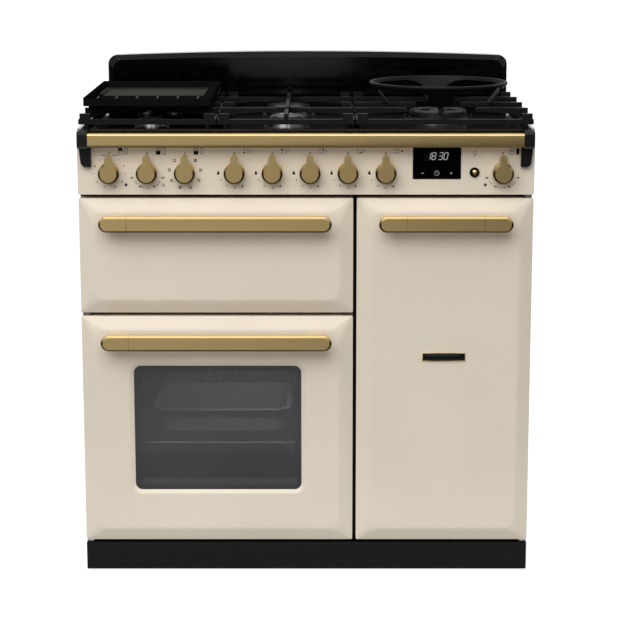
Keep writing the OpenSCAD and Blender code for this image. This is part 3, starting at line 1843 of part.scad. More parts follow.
base_frame();
side_panels();
rear_panel();
front_frame();
plinth();
oven_cavities();
oven_seals();
shelf_supports();
elements_and_lamps();
fan_baffles();
fan_motors();
fan_blade(left_mid_x, left_fan_z);  // left_fan_blade
fan_blade(right_mid_x, right_fan_z);  // right_fan_blade
left_shelf_upper();
roasting_tin();
left_shelf_lower();
right_shelf(1);  // right_shelf_upper
right_shelf(0);  // right_shelf_lower
grill_carriage();
grill_pan();
grill_trivet();
hinge_pins();
left_door_panel();
left_door_glass();
left_door_liner();
left_door_handle();
right_door_panel();
right_door_liner();
right_door_handle();
grill_door_panel();
grill_door_liner();
grill_door_handle();
control_panel();
clock_and_button_bezel();
light_button();
gas_taps_and_switches();
knob(oven_knob_x(0));  // grill_knob
knob(oven_knob_x(1));  // left_oven_knob
knob(oven_knob_x(2));  // oven_function_knob
knob(hob_knob_x(0));  // hob_knob_1
knob(hob_knob_x(1));  // hob_knob_2
knob(hob_knob_x(2));  // hob_knob_3
knob(hob_knob_x(3));  // hob_knob_4
knob(hob_knob_x(4));  // hob_knob_5
knob(right_knob_x);  // right_oven_knob
handrail();
handrail_brackets();
hob_tray();
splashback();
burner_bases();
burner_heads();
burner_caps();
left_pan_support();
centre_pan_support();
right_pan_support();
griddle();
wok_cradle();
levelling_foot(-1);  // left_foot
levelling_foot(1);  // right_foot
rear_rollers();
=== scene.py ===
# A 900 mm wide range cooker in cream vitreous enamel with brushed brass fittings.
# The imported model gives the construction; this script gives it its finishes and its printed and trim pieces.
import math

import bmesh
import bpy
from mathutils import Matrix, Vector


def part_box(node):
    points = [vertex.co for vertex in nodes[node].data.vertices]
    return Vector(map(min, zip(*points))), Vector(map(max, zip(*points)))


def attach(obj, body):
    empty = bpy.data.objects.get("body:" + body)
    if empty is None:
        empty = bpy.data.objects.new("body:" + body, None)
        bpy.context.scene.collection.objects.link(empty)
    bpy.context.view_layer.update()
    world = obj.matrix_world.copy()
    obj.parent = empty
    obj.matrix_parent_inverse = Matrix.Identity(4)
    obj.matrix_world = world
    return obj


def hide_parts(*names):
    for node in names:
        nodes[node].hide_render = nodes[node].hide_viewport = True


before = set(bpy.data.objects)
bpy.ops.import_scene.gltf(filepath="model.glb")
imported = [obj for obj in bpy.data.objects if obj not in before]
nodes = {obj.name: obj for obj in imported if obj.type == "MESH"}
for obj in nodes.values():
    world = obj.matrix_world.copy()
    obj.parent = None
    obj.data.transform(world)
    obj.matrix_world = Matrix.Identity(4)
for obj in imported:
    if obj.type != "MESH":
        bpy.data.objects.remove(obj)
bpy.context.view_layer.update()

# Viewpoint: a long lens a little above the hob, four metres in front of the doors, tilted down.
# It stands a little to the right of the cooker's middle.
door_face_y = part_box("left_door_panel")[0].y
CAMERA_AWAY = 3.985
CAMERA_HEIGHT = 1.338
CAMERA_SIDE = 0.0276
CAMERA_TILT = math.radians(11.5)
picture_camera = bpy.data.cameras.new("picture_camera")
picture_camera.sensor_width = 36.0
picture_camera.lens = 114.6
camera = bpy.data.objects.new("picture_camera", picture_camera)
camera.location = (CAMERA_SIDE, door_face_y - CAMERA_AWAY, CAMERA_HEIGHT)
camera.rotation_euler = (math.radians(90) - CAMERA_TILT, 0.0, 0.0)
bpy.context.scene.collection.objects.link(camera)
bpy.context.scene.camera = camera
bpy.context.scene.view_settings.view_transform = "Standard"


# Studio: a white floor and back wall, a grey room, and soft boxes above and in front of the cooker.
# The floor and wall show white to the eye and to every reflection, and keep the cooker's shadow.
FLOOR_HALF_WIDTH = 1.7
FLOOR_FRONT_Y = -0.8
FLOOR_BACK_Y = 5.0
BACK_HEIGHT = 4.0
FLOOR_TONE = 0.46
FLOOR_GLOW = 0.80
BACK_GLOW = 0.84


def stage_sheet(name, corners):
    sheet = bpy.data.meshes.new(name)
    sheet.from_pydata(corners, [], [tuple(range(len(corners)))])
    made = bpy.data.objects.new(name, sheet)
    bpy.context.scene.collection.objects.link(made)
    return made


sweep_white = bpy.data.materials.new("sweep_white")
sweep_white.use_nodes = True
sweep_nodes = sweep_white.node_tree.nodes
sweep_links = sweep_white.node_tree.links
sweep_paint = sweep_nodes["Principled BSDF"]
sweep_paint.inputs["Base Color"].default_value = (FLOOR_TONE, FLOOR_TONE, FLOOR_TONE, 1)
sweep_paint.inputs["Roughness"].default_value = 0.9
sweep_paint.inputs["Specular IOR Level"].default_value = 0.0
sweep_glow = sweep_nodes.new("ShaderNodeEmission")
sweep_glow.inputs["Strength"].default_value = FLOOR_GLOW
sweep_sum = sweep_nodes.new("ShaderNodeAddShader")
sweep_seen = sweep_nodes.new("ShaderNodeLightPath")
seen_or_mirrored = sweep_nodes.new("ShaderNodeMath")
seen_or_mirrored.operation = "MAXIMUM"
seen_through = sweep_nodes.new("ShaderNodeMath")
seen_through.operation = "MAXIMUM"
sweep_mix = sweep_nodes.new("ShaderNodeMixShader")
sweep_links.new(sweep_seen.outputs["Is Camera Ray"], seen_or_mirrored.inputs[0])
sweep_links.new(sweep_seen.outputs["Is Glossy Ray"], seen_or_mirrored.inputs[1])
sweep_links.new(seen_or_mirrored.outputs[0], seen_through.inputs[0])
sweep_links.new(sweep_seen.outputs["Is Transmission Ray"], seen_through.inputs[1])
sweep_links.new(sweep_paint.outputs[0], sweep_sum.inputs[0])
sweep_links.new(sweep_glow.outputs[0], sweep_sum.inputs[1])
sweep_links.new(seen_through.outputs[0], sweep_mix.inputs[0])
sweep_links.new(sweep_paint.outputs[0], sweep_mix.inputs[1])
sweep_links.new(sweep_sum.outputs[0], sweep_mix.inputs[2])
sweep_links.new(sweep_mix.outputs[0], sweep_nodes["Material Output"].inputs["Surface"])
studio_floor = stage_sheet("studio_floor", [(-FLOOR_HALF_WIDTH, FLOOR_FRONT_Y, 0),
                                            (FLOOR_HALF_WIDTH, FLOOR_FRONT_Y, 0),
                                            (FLOOR_HALF_WIDTH, FLOOR_BACK_Y, 0),
                                            (-FLOOR_HALF_WIDTH, FLOOR_BACK_Y, 0)])
studio_back = stage_sheet("studio_back", [(-FLOOR_HALF_WIDTH, FLOOR_BACK_Y, 0),
                                          (FLOOR_HALF_WIDTH, FLOOR_BACK_Y, 0),
                                          (FLOOR_HALF_WIDTH, FLOOR_BACK_Y, BACK_HEIGHT),
                                          (-FLOOR_HALF_WIDTH, FLOOR_BACK_Y, BACK_HEIGHT)])
studio_floor.data.materials.append(sweep_white)
back_white = sweep_white.copy()
back_white.node_tree.nodes["Emission"].inputs["Strength"].default_value = BACK_GLOW
studio_back.data.materials.append(back_white)

# Room: dark at floor level and light above, as a studio with a white ceiling is.
# Its upper half fills in the shadows, and the enamel and brass mirror both halves.
DARK_BELOW = 0.485
LIGHT_ABOVE = 0.58
ROOM_LIGHT = 0.75
room = bpy.data.worlds.new("grey_room")
room.use_nodes = True
room_nodes = room.node_tree.nodes
room_links = room.node_tree.links
room_height = room_nodes.new("ShaderNodeSeparateXYZ")
room_place = room_nodes.new("ShaderNodeTexCoord")
room_tone = room_nodes.new("ShaderNodeValToRGB")
room_tone.color_ramp.elements[0].position = DARK_BELOW
room_tone.color_ramp.elements[0].color = (0.10, 0.10, 0.104, 1)
room_tone.color_ramp.elements[1].position = LIGHT_ABOVE
room_tone.color_ramp.elements[1].color = (0.86, 0.86, 0.88, 1)
room_shift = room_nodes.new("ShaderNodeMapRange")
room_shift.inputs["From Min"].default_value = -1.0
room_links.new(room_place.outputs["Generated"], room_height.inputs[0])
room_links.new(room_height.outputs["Z"], room_shift.inputs["Value"])
room_links.new(room_shift.outputs[0], room_tone.inputs[0])
room_links.new(room_tone.outputs[0], room_nodes["Background"].inputs["Color"])
room_nodes["Background"].inputs["Strength"].default_value = ROOM_LIGHT
bpy.context.scene.world = room


def soft_box(name, place, aim, width, height, power):
    """A rectangular lamp of a given size in metres and power in watts, turned towards aim."""
    lamp = bpy.data.lights.new(name, "AREA")
    lamp.shape = "RECTANGLE"
    lamp.size = width
    lamp.size_y = height
    lamp.energy = power
    made = bpy.data.objects.new(name, lamp)
    made.location = place
    made.rotation_euler = (Vector(aim) - Vector(place)).to_track_quat("-Z", "Y").to_euler()
    bpy.context.scene.collection.objects.link(made)
    return made


soft_box("bank_overhead", (0.0, -0.7, 3.3), (0.0, -0.7, 0.0), 3.0, 2.0, 14)
soft_box("soft_box_front", (-0.85, -3.1, 3.1), (0.0, 0.0, 0.5), 4.0, 2.6, 116)
soft_box("fill_card_low", (-1.4, -5.6, -0.45), (-1.4, 0.0, -0.45), 3.4, 1.5, 8)
soft_box("card_below_lens", (-0.14, -5.6, 0.62), (-0.14, 0.0, 0.62), 0.62, 0.24, 0.45)


# Carcass: folded steel side panels in black powder coat over a galvanised base frame and rear panel.
# Powder coat is a satin black with a fine grain; the galvanised sheet shows a faint spangle.
def new_finish(name, roughness, metallic=0.0, specular=0.5, coat=0.0):
    finish = bpy.data.materials.new(name)
    finish.use_nodes = True
    shader = finish.node_tree.nodes["Principled BSDF"]
    shader.inputs["Roughness"].default_value = roughness
    shader.inputs["Metallic"].default_value = metallic
    shader.inputs["Specular IOR Level"].default_value = specular
    shader.inputs["Coat Weight"].default_value = coat
    shader.inputs["Coat Roughness"].default_value = 0.06
    return finish


def grain_of(finish, size, stretch=(1.0, 1.0, 1.0), detail=3.0):
    """Noise in the cooker's own space: size is the grain's width in metres, stretch draws it out."""
    tree = finish.node_tree
    place = tree.nodes.new("ShaderNodeTexCoord")
    draw_out = tree.nodes.new("ShaderNodeMapping")
    draw_out.inputs["Scale"].default_value = tuple(1.0 / s for s in stretch)
    grain = tree.nodes.new("ShaderNodeTexNoise")
    grain.inputs["Scale"].default_value = 1.0 / size
    grain.inputs["Detail"].default_value = detail
    tree.links.new(place.outputs["Object"], draw_out.inputs["Vector"])
    tree.links.new(draw_out.outputs[0], grain.inputs["Vector"])
    return grain.outputs["Fac"]


def tone_between(finish, grain, first, second, low=0.35, high=0.65):
    """Gives the finish its first tone where the grain is low and its second where it is high."""
    tree = finish.node_tree
    tones = tree.nodes.new("ShaderNodeValToRGB")
    tones.color_ramp.elements[0].position = low
    tones.color_ramp.elements[0].color = (*first, 1)
    tones.color_ramp.elements[1].position = high
    tones.color_ramp.elements[1].color = (*second, 1)
    tree.links.new(grain, tones.inputs[0])
    tree.links.new(tones.outputs[0], tree.nodes["Principled BSDF"].inputs["Base Color"])


def relief(finish, grain, height, strength=1.0):
    """Raises the surface with its grain, by height in metres."""
    tree = finish.node_tree
    bump = tree.nodes.new("ShaderNodeBump")
    bump.inputs["Distance"].default_value = height
    bump.inputs["Strength"].default_value = strength
    tree.links.new(grain, bump.inputs["Height"])
    tree.links.new(bump.outputs[0], tree.nodes["Principled BSDF"].inputs["Normal"])


def sheen_varies(finish, grain, least, most):
    """Lets the roughness follow the grain."""
    tree = finish.node_tree
    spread = tree.nodes.new("ShaderNodeMapRange")
    spread.inputs["From Min"].default_value = 0.3
    spread.inputs["From Max"].default_value = 0.7
    spread.inputs["To Min"].default_value = least
    spread.inputs["To Max"].default_value = most
    tree.links.new(grain, spread.inputs["Value"])
    tree.links.new(spread.outputs[0], tree.nodes["Principled BSDF"].inputs["Roughness"])


def dress(finish, *names):
    """Coats the named pieces with one finish."""
    for name in names:
        nodes[name].data.materials.clear()
        nodes[name].data.materials.append(finish)


EASED_ANGLE = 34
JOINED_WITHIN = 1e-6


def ease_edges(width, *names, segments=3):
    """A formed or cast piece has no knife edges: its corners are rounded by width."""
    for name in names:
        node = nodes[name]
        weld = node.modifiers.new("joined_faces", "WELD")
        weld.merge_threshold = JOINED_WITHIN
        rounded = node.modifiers.new("eased_edges", "BEVEL")
        rounded.width = width
        rounded.segments = segments
        rounded.limit_method = "ANGLE"
        rounded.angle_limit = math.radians(EASED_ANGLE)
        shading = node.modifiers.new("even_shading", "WEIGHTED_NORMAL")
        shading.keep_sharp = False
        for face in node.data.polygons:
            face.use_smooth = True


powder_black = new_finish("powder_black", 0.42, specular=0.15)
powder_grain = grain_of(powder_black, 0.0009)
tone_between(powder_black, powder_grain, (0.004, 0.004, 0.0045), (0.007, 0.007, 0.0075))
relief(powder_black, powder_grain, 0.0002, 0.4)
dress(powder_black, "side_panels", "front_frame")

galvanised = new_finish("galvanised_sheet", 0.38, metallic=0.9)
spangle = grain_of(galvanised, 0.012, detail=1.0)
tone_between(galvanised, spangle, (0.36, 0.37, 0.38), (0.50, 0.51, 0.52))
sheen_varies(galvanised, spangle, 0.30, 0.46)
dress(galvanised, "base_frame", "rear_panel", "fan_motors", "hinge_pins", "gas_taps_and_switches",
      "grill_carriage")
ease_edges(0.0008, "side_panels", "base_frame", segments=2)

# Plinth: a black enamelled kickboard across the front, clear of the floor.
# It is pressed from sheet, so its front edges are softly rounded.
plinth_black = new_finish("plinth_black", 0.3, specular=0.10)
plinth_grain = grain_of(plinth_black, 0.003)
tone_between(plinth_black, plinth_grain, (0.0030, 0.0030, 0.0034), (0.0048, 0.0048, 0.0054))
sheen_varies(plinth_black, plinth_grain, 0.26, 0.36)
dress(plinth_black, "plinth")
ease_edges(0.0012, "plinth")

# Doors: pressed steel skins in cream vitreous enamel, each with a raised face and a sloping border.
# The skin is drawn as one sheet, from its face down the border and the side walls to its turned-in edge.
cream_enamel = new_finish("cream_enamel", 0.26, specular=0.24, coat=0.06)
enamel_cloud = grain_of(cream_enamel, 0.16, detail=2.0)
tone_between(cream_enamel, enamel_cloud, (0.728, 0.650, 0.530), (0.752, 0.672, 0.550))
enamel_peel = grain_of(cream_enamel, 0.006, detail=1.0)
relief(cream_enamel, enamel_peel, 0.00002, 0.5)
BORDER = 0.030
BORDER_FALL = 0.012
CROWN_RADIUS = 0.023
DOOR_CORNER_RADIUS = 0.003
SKIN = 0.0015
TURNED_IN = 0.020
EDGE_RADIUS = 0.0022
BORDER_SOFTNESS = 0.14
CORNER_STEPS = 8
BORDER_STEPS = 10


def rounded_loop(low_x, high_x, low_z, high_z, radius, y):
    """A rounded rectangle's points at one depth, the same number for any radius."""
    corners = [(high_x, low_z, -90), (high_x, high_z, 0), (low_x, high_z, 90), (low_x, low_z, 180)]
    points = []
    for x, z, start in corners:
        middle_x = x - math.copysign(radius, x - (low_x + high_x) / 2)
        middle_z = z - math.copysign(radius, z - (low_z + high_z) / 2)
        for step in range(CORNER_STEPS + 1):
            turn = math.radians(start + 90 * step / CORNER_STEPS)
            points.append((middle_x + radius * math.cos(turn), y, middle_z + radius * math.sin(turn)))
    return points


def lofted(name, loops, close_first=False, close_last=False):
    """A sheet through a row of loops that have the same number of points."""
    shape = bmesh.new()
    rings = [[shape.verts.new(point) for point in loop] for loop in loops]
    count = len(loops[0])
    for near, far in zip(rings, rings[1:]):
        for i in range(count):
            j = (i + 1) % count
            shape.faces.new((near[i], near[j], far[j], far[i]))
    if close_first:
        shape.faces.new(rings[0][::-1])
    if close_last:
        shape.faces.new(rings[-1])
    bmesh.ops.recalc_face_normals(shape, faces=shape.faces)
    mesh = bpy.data.meshes.new(name)
    shape.to_mesh(mesh)
    shape.free()
    mesh.shade_smooth()
    made = bpy.data.objects.new(name, mesh)
    bpy.context.scene.collection.objects.link(made)
    return made


def rounded_by(piece, width, angle=EASED_ANGLE, segments=3):
    """Rounds a made piece's edges, where they turn by more than angle."""
    rounded = piece.modifiers.new("eased_edges", "BEVEL")
    rounded.width = width
    rounded.segments = segments
    rounded.limit_method = "ANGLE"
    rounded.angle_limit = math.radians(angle)
    piece.modifiers.new("even_shading", "WEIGHTED_NORMAL")


def border_loops(low, high):
    """Loops from the raised face's edge down the sloping border to the door's edge."""
    loops = []
    whole_fall = math.hypot(1, BORDER_SOFTNESS) - BORDER_SOFTNESS
    for step in range(BORDER_STEPS + 1):
        along = step / BORDER_STEPS
        fall = (math.hypot(along, BORDER_SOFTNESS) - BORDER_SOFTNESS) / whole_fall
        inset = BORDER * (1 - along)
        radius = DOOR_CORNER_RADIUS + (CROWN_RADIUS - DOOR_CORNER_RADIUS) * (1 - along)
        loops.append(rounded_loop(low.x + inset, high.x - inset, low.z + inset, high.z - inset,
                                  radius, low.y + BORDER_FALL * fall))
    return loops


def door_skin(name, node, window_loops=()):
    """One door's pressed skin, in the place of its plain panel; window_loops open it for a window."""
    low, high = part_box(node)
    radius = DOOR_CORNER_RADIUS
    back = [rounded_loop(low.x, high.x, low.z, high.z, radius, high.y)]
    for y in (high.y, high.y - TURNED_IN):
        back.append(rounded_loop(low.x + SKIN, high.x - SKIN, low.z + SKIN, high.z - SKIN, radius - SKIN, y))
    loops = list(window_loops) + border_loops(low, high) + back
    skin = lofted(name, loops, close_first=not window_loops)
    skin.data.materials.append(cream_enamel)
    rounded_by(skin, EDGE_RADIUS, angle=38)
    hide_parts(node)
    return skin


tall_skin = door_skin("tall_door_skin", "right_door_panel")
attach(tall_skin, "right_oven_door")
grill_skin = door_skin("grill_door_skin", "grill_door_panel")
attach(grill_skin, "grill_door")

# Hinge slots: the grill door's lower wall is notched at both ends.
# Its hinge ears stand in the slots when the door has dropped open.
EAR_INSET = 0.0155
EAR_SLOT = 0.006
EAR_SLOT_START = 0.0130
WALL_DEPTH = 0.002
CUT_MARGIN = 0.0005
grill_low, grill_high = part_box("grill_door_panel")
slot_middles = (grill_low.x + EAR_INSET, grill_high.x - EAR_INSET)


def lower_wall(shape):
    """The faces of the lower wall, with their edges and points."""
    faces = [face for face in shape.faces
             if face.calc_center_median().z < grill_low.z + WALL_DEPTH
             and face.calc_center_median().y > grill_low.y + EAR_SLOT_START - CUT_MARGIN]
    edges = {edge for face in faces for edge in face.edges}
    points = {point for face in faces for point in face.verts}
    return faces + list(edges) + list(points)


notched = bmesh.new()
notched.from_mesh(grill_skin.data)
for middle in slot_middles:
    for side_x in (middle - EAR_SLOT / 2, middle + EAR_SLOT / 2):
        bmesh.ops.bisect_plane(notched, geom=lower_wall(notched),
                               plane_co=(side_x, 0, 0), plane_no=(1, 0, 0))
slot_front = (0, grill_low.y + EAR_SLOT_START, 0)
bmesh.ops.bisect_plane(notched, geom=lower_wall(notched), plane_co=slot_front, plane_no=(0, 1, 0))
in_slots = [face for face in notched.faces
            if face.calc_center_median().z < grill_low.z + WALL_DEPTH
            and face.calc_center_median().y > grill_low.y + EAR_SLOT_START
            and any(abs(face.calc_center_median().x - middle) < EAR_SLOT / 2 for middle in slot_middles)]
bmesh.ops.delete(notched, geom=in_slots, context="FACES")
notched.to_mesh(grill_skin.data)
notched.free()

# Window: the oven door's skin is pressed inwards round the glass.
# Both panes are smoked glass, and the inner one has a printed dark border that hides its edge.
glass_low, glass_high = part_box("left_door_glass")
PANE_LAP = 0.0185
RIM_WIDTH = 0.011
RIM_FALL = 0.007
RIM_EDGE = 0.0006
WINDOW_RADIUS = 0.014
window_low_x = glass_low.x + PANE_LAP
window_high_x = glass_high.x - PANE_LAP
window_low_z = glass_low.z + PANE_LAP
window_high_z = glass_high.z - PANE_LAP


def window_loop(outwards, y):
    """The window's opening, grown outwards, at one depth."""
    return rounded_loop(window_low_x - outwards, window_high_x + outwards, window_low_z - outwards,
                        window_high_z + outwards, WINDOW_RADIUS + outwards, y)


window_loops = [
    window_loop(0.0008, door_face_y + RIM_FALL + RIM_EDGE),
    window_loop(0.0, door_face_y + RIM_FALL - RIM_EDGE),
    window_loop(RIM_WIDTH * 0.5, door_face_y + RIM_FALL * 0.52),
    window_loop(RIM_WIDTH, door_face_y),
]
window_skin = door_skin("window_door_skin", "left_door_panel", window_loops)
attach(window_skin, "left_oven_door")

SMOKE_DEPTH = 0.36
smoked_glass = new_finish("smoked_glass", 0.04, specular=0.5)
smoke = grain_of(smoked_glass, 0.3, detail=1.0)
tone_between(smoked_glass, smoke, (0.086, 0.087, 0.091), (0.098, 0.099, 0.103))
smoked_glass.node_tree.nodes["Principled BSDF"].inputs["Alpha"].default_value = SMOKE_DEPTH
dress(smoked_glass, "left_door_glass")

glass_print = new_finish("glass_print", 0.35)
print_grain = grain_of(glass_print, 0.002)
tone_between(glass_print, print_grain, (0.010, 0.010, 0.011), (0.014, 0.014, 0.015))
PANE = 0.004
PRINT_SIDE = 0.0119
PRINT_END = 0.0168
PRINT_RADIUS = 0.008
PRINT_LAP = 0.0125
print_back_y = glass_high.y - PANE - 0.0001
print_front_y = glass_high.y - PANE - 0.0004


def print_edge(y):
    """The inner edge of the printed border."""
    return rounded_loop(window_low_x + PRINT_SIDE, window_high_x - PRINT_SIDE, window_low_z + PRINT_END,
                        window_high_z - PRINT_END, PRINT_RADIUS, y)


window_border = lofted("window_printed_border", [window_loop(PRINT_LAP, print_front_y), print_edge(print_front_y),
                                                print_edge(print_back_y), window_loop(PRINT_LAP, print_back_y)])
window_border.data.materials.append(glass_print)
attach(window_border, "left_oven_door")

# Door liners: the inner trays of the doors, in dark grey vitreous enamel with a fine white fleck.
# The same enamel covers the cavities and the fan baffles.
oven_enamel = new_finish("oven_enamel", 0.2, specular=0.5)
fleck = grain_of(oven_enamel, 0.0016, detail=0.0)
tone_between(oven_enamel, fleck, (0.030, 0.031, 0.034), (0.30, 0.31, 0.33), low=0.70, high=0.80)
door_liners = ["left_door_liner", "right_door_liner", "grill_door_liner"]
dress(oven_enamel, "oven_cavities", "fan_baffles", *door_liners)
ease_edges(0.0008, *door_liners, segments=2)

# Oven seals: woven glass-fibre rope, clipped round each oven's mouth.
# The door's liner presses on it when the door is shut.
seal_rope = new_finish("glass_fibre_rope", 0.9, specular=0.2)
rope_twist = grain_of(seal_rope, 0.003)
tone_between(seal_rope, rope_twist, (0.018, 0.018, 0.019), (0.05, 0.05, 0.052))
relief(seal_rope, rope_twist, 0.001)
dress(seal_rope, "oven_seals")

# Handles and handrail: solid brass bar, drawn lengthways over a fine belt so that it has a silky grain.
# Their edges are chamfered. The upper chamfers catch the light; the lower ones and the ends are painted dark brown
# in the colour, a painted shade.
def patch_where(finish, source, limits):
    """One inside the limits and nought outside: each limit is an axis, where it is nought, where it is one."""
    tree = finish.node_tree
    parted = tree.nodes.new("ShaderNodeSeparateXYZ")
    tree.links.new(tree.nodes.new("ShaderNodeTexCoord").outputs[source], parted.inputs[0])
    patch = None
    for axis, nought, one in limits:
        limit = tree.nodes.new("ShaderNodeMapRange")
        limit.inputs["From Min"].default_value = nought
        limit.inputs["From Max"].default_value = one
        tree.links.new(parted.outputs[axis], limit.inputs["Value"])
        if patch is None:
            patch = limit.outputs[0]
            continue
        both = tree.nodes.new("ShaderNodeMath")
        both.operation = "MULTIPLY"
        tree.links.new(patch, both.inputs[0])
        tree.links.new(limit.outputs[0], both.inputs[1])
        patch = both.outputs[0]
    return patch, parted


def shade_chamfers(finish):
    """Paints shade into the colour of the narrow chamfers that face down and sideways, darkest at the sides, and
    leaves every flat face alone.
    """
    tree = finish.node_tree
    chamfer_painted_shade, facing = patch_where(finish, "Normal", [("Y", -0.97, -0.88), ("Y", -0.12, -0.28), ("Z", 0.45, 0.10)])
    sideways = tree.nodes.new("ShaderNodeMath")
    sideways.operation = "ABSOLUTE"
    tree.links.new(facing.outputs["X"], sideways.inputs[0])
    painted_shadow_tone = tree.nodes.new("ShaderNodeValToRGB")
    painted_shadow_tone.color_ramp.elements[0].position = 0.15
    painted_shadow_tone.color_ramp.elements[0].color = (0.090, 0.062, 0.026, 1)
    painted_shadow_tone.color_ramp.elements[1].position = 0.60
    painted_shadow_tone.color_ramp.elements[1].color = (0.020, 0.014, 0.008, 1)
    tree.links.new(sideways.outputs[0], painted_shadow_tone.inputs[0])
    colour_in = tree.nodes["Principled BSDF"].inputs["Base Color"]
    mix = tree.nodes.new("ShaderNodeMix")
    mix.data_type = "RGBA"
    tree.links.new(colour_in.links[0].from_socket, mix.inputs[6])
    tree.links.new(painted_shadow_tone.outputs["Color"], mix.inputs[7])
    tree.links.new(chamfer_painted_shade, mix.inputs[0])
    tree.links.new(mix.outputs[2], colour_in)


drawn_brass = new_finish("drawn_brass", 0.3, metallic=1.0)
draw_lines = grain_of(drawn_brass, 0.00030, stretch=(90.0, 1.0, 1.0), detail=2.0)
tone_between(drawn_brass, draw_lines, (0.700, 0.515, 0.225), (0.730, 0.537, 0.236))
sheen_varies(drawn_brass, draw_lines, 0.28, 0.36)
relief(drawn_brass, draw_lines, 0.00002, 0.10)
shade_chamfers(drawn_brass)
brass_bars = ["left_door_handle", "right_door_handle", "grill_door_handle", "handrail"]
dress(drawn_brass, *brass_bars)
ease_edges(0.0007, *brass_bars)

# Handrail brackets: one black enamelled casting at each end, bolted through the panel.
# Every edge is well rounded, since hands and cloths pass over it.
bracket_black = new_finish("bracket_black", 0.28, specular=0.25)
bracket_grain = grain_of(bracket_black, 0.0012)
tone_between(bracket_black, bracket_grain, (0.004, 0.004, 0.0042), (0.007, 0.007, 0.0072))
sheen_varies(bracket_black, bracket_grain, 0.24, 0.34)
dress(bracket_black, "handrail_brackets")
ease_edges(0.0016, "handrail_brackets", segments=4)

# Badge: a bare black plate with a thin brass edge, stuck flat on the tall door.
# Its top and bottom edges bow outwards a little.
BADGE_WIDTH = 0.086
BADGE_HEIGHT = 0.016
BADGE_THICKNESS = 0.0018
BADGE_BOW = 0.0009
BADGE_EDGE = 0.0008
BADGE_EDGE_RISE = 0.0004
BADGE_STEPS = 12
BADGE_UP_THE_DOOR = 0.5463
tall_low, tall_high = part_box("right_door_panel")
badge_x = (tall_low.x + tall_high.x) / 2
badge_z = tall_low.z + (tall_high.z - tall_low.z) * BADGE_UP_THE_DOOR
badge_back_y = door_face_y - 0.00005
badge_face_y = door_face_y - BADGE_THICKNESS
badge_edge_y = badge_face_y - BADGE_EDGE_RISE


def badge_loop(grow, y):
    """The badge's outline at one depth, grown or shrunk."""
    half_width = BADGE_WIDTH / 2 + grow
    half_height = BADGE_HEIGHT / 2 + grow
    points = []
    for side in (-1, 1):
        for step in range(BADGE_STEPS + 1):
            x = side * (half_width - 2 * half_width * step / BADGE_STEPS)
            rise = half_height + BADGE_BOW * (1 - (x / half_width) ** 2)
            points.append((badge_x - x, y, badge_z + side * rise))
    return points


badge_plate = lofted("badge_plate", [badge_loop(-BADGE_EDGE, badge_back_y), badge_loop(-BADGE_EDGE, badge_face_y)],
                     close_last=True)
badge_plate.data.materials.append(plinth_black)
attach(badge_plate, "right_oven_door")
badge_edge = lofted("badge_edge", [badge_loop(-BADGE_EDGE, badge_face_y), badge_loop(-BADGE_EDGE, badge_edge_y),
                                   badge_loop(0.0, badge_edge_y), badge_loop(0.0, badge_back_y)])
badge_edge.data.materials.append(drawn_brass)
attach(badge_edge, "right_oven_door")

# Control panel: one folded sheet in the doors' cream enamel, drilled for the knob shafts.
# It hooks over the front frame, under the handrail.
dress(cream_enamel, "control_panel")
ease_edges(0.0012, "control_panel")
panel_face_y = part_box("control_panel")[0].y

# Clock: a black glass over lit figures and three touch signs, let into the panel.
# The light button beside it has a bezel of the same black.
clock_black = new_finish("clock_glass", 0.08, specular=0.05)
clock_smoke = grain_of(clock_black, 0.02)
tone_between(clock_black, clock_smoke, (0.0005, 0.0005, 0.0006), (0.0011, 0.0011, 0.0012))
dress(clock_black, "clock_and_button_bezel")
ease_edges(0.0005, "clock_and_button_bezel")

clock_glass_low, clock_glass_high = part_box("clock_and_button_bezel")
CLOCK_WIDTH = 0.095
CLOCK_RIM = 0.0012
clock_x = clock_glass_low.x + CLOCK_WIDTH / 2
clock_z = (clock_glass_low.z + clock_glass_high.z) / 2


def lit_plastic(name, tone, glow_tone, glow):
    """A grey light guide behind the glass, lit from behind."""
    lit = bpy.data.materials.new(name)
    lit.use_nodes = True
    shader = lit.node_tree.nodes["Principled BSDF"]
    shader.inputs["Base Color"].default_value = (tone, tone, tone, 1)
    shader.inputs["Emission Color"].default_value = (*glow_tone, 1)
    shader.inputs["Emission Strength"].default_value = glow
    return lit


INK_SPREAD = 0.05
INK_RISE = 0.00025


def numeral_mesh(text, height):
    """The outline of a few figures of a given height as a flat mesh, centred on its own middle."""
    letters = bpy.data.curves.new("figures", "FONT")
    letters.body = text
    letters.size = 1.0
    letters.offset = INK_SPREAD
    holder = bpy.data.objects.new("figures", letters)
    flat = bpy.data.meshes.new_from_object(holder)
    bpy.data.objects.remove(holder)
    bpy.data.curves.remove(letters)
    across = [v.co.x for v in flat.vertices]
    up = [v.co.y for v in flat.vertices]
    middle = Vector(((min(across) + max(across)) / 2, (min(up) + max(up)) / 2, 0))
    flat.transform(Matrix.Scale(height / (max(up) - min(up)), 4) @ Matrix.Translation(-middle))
    return flat


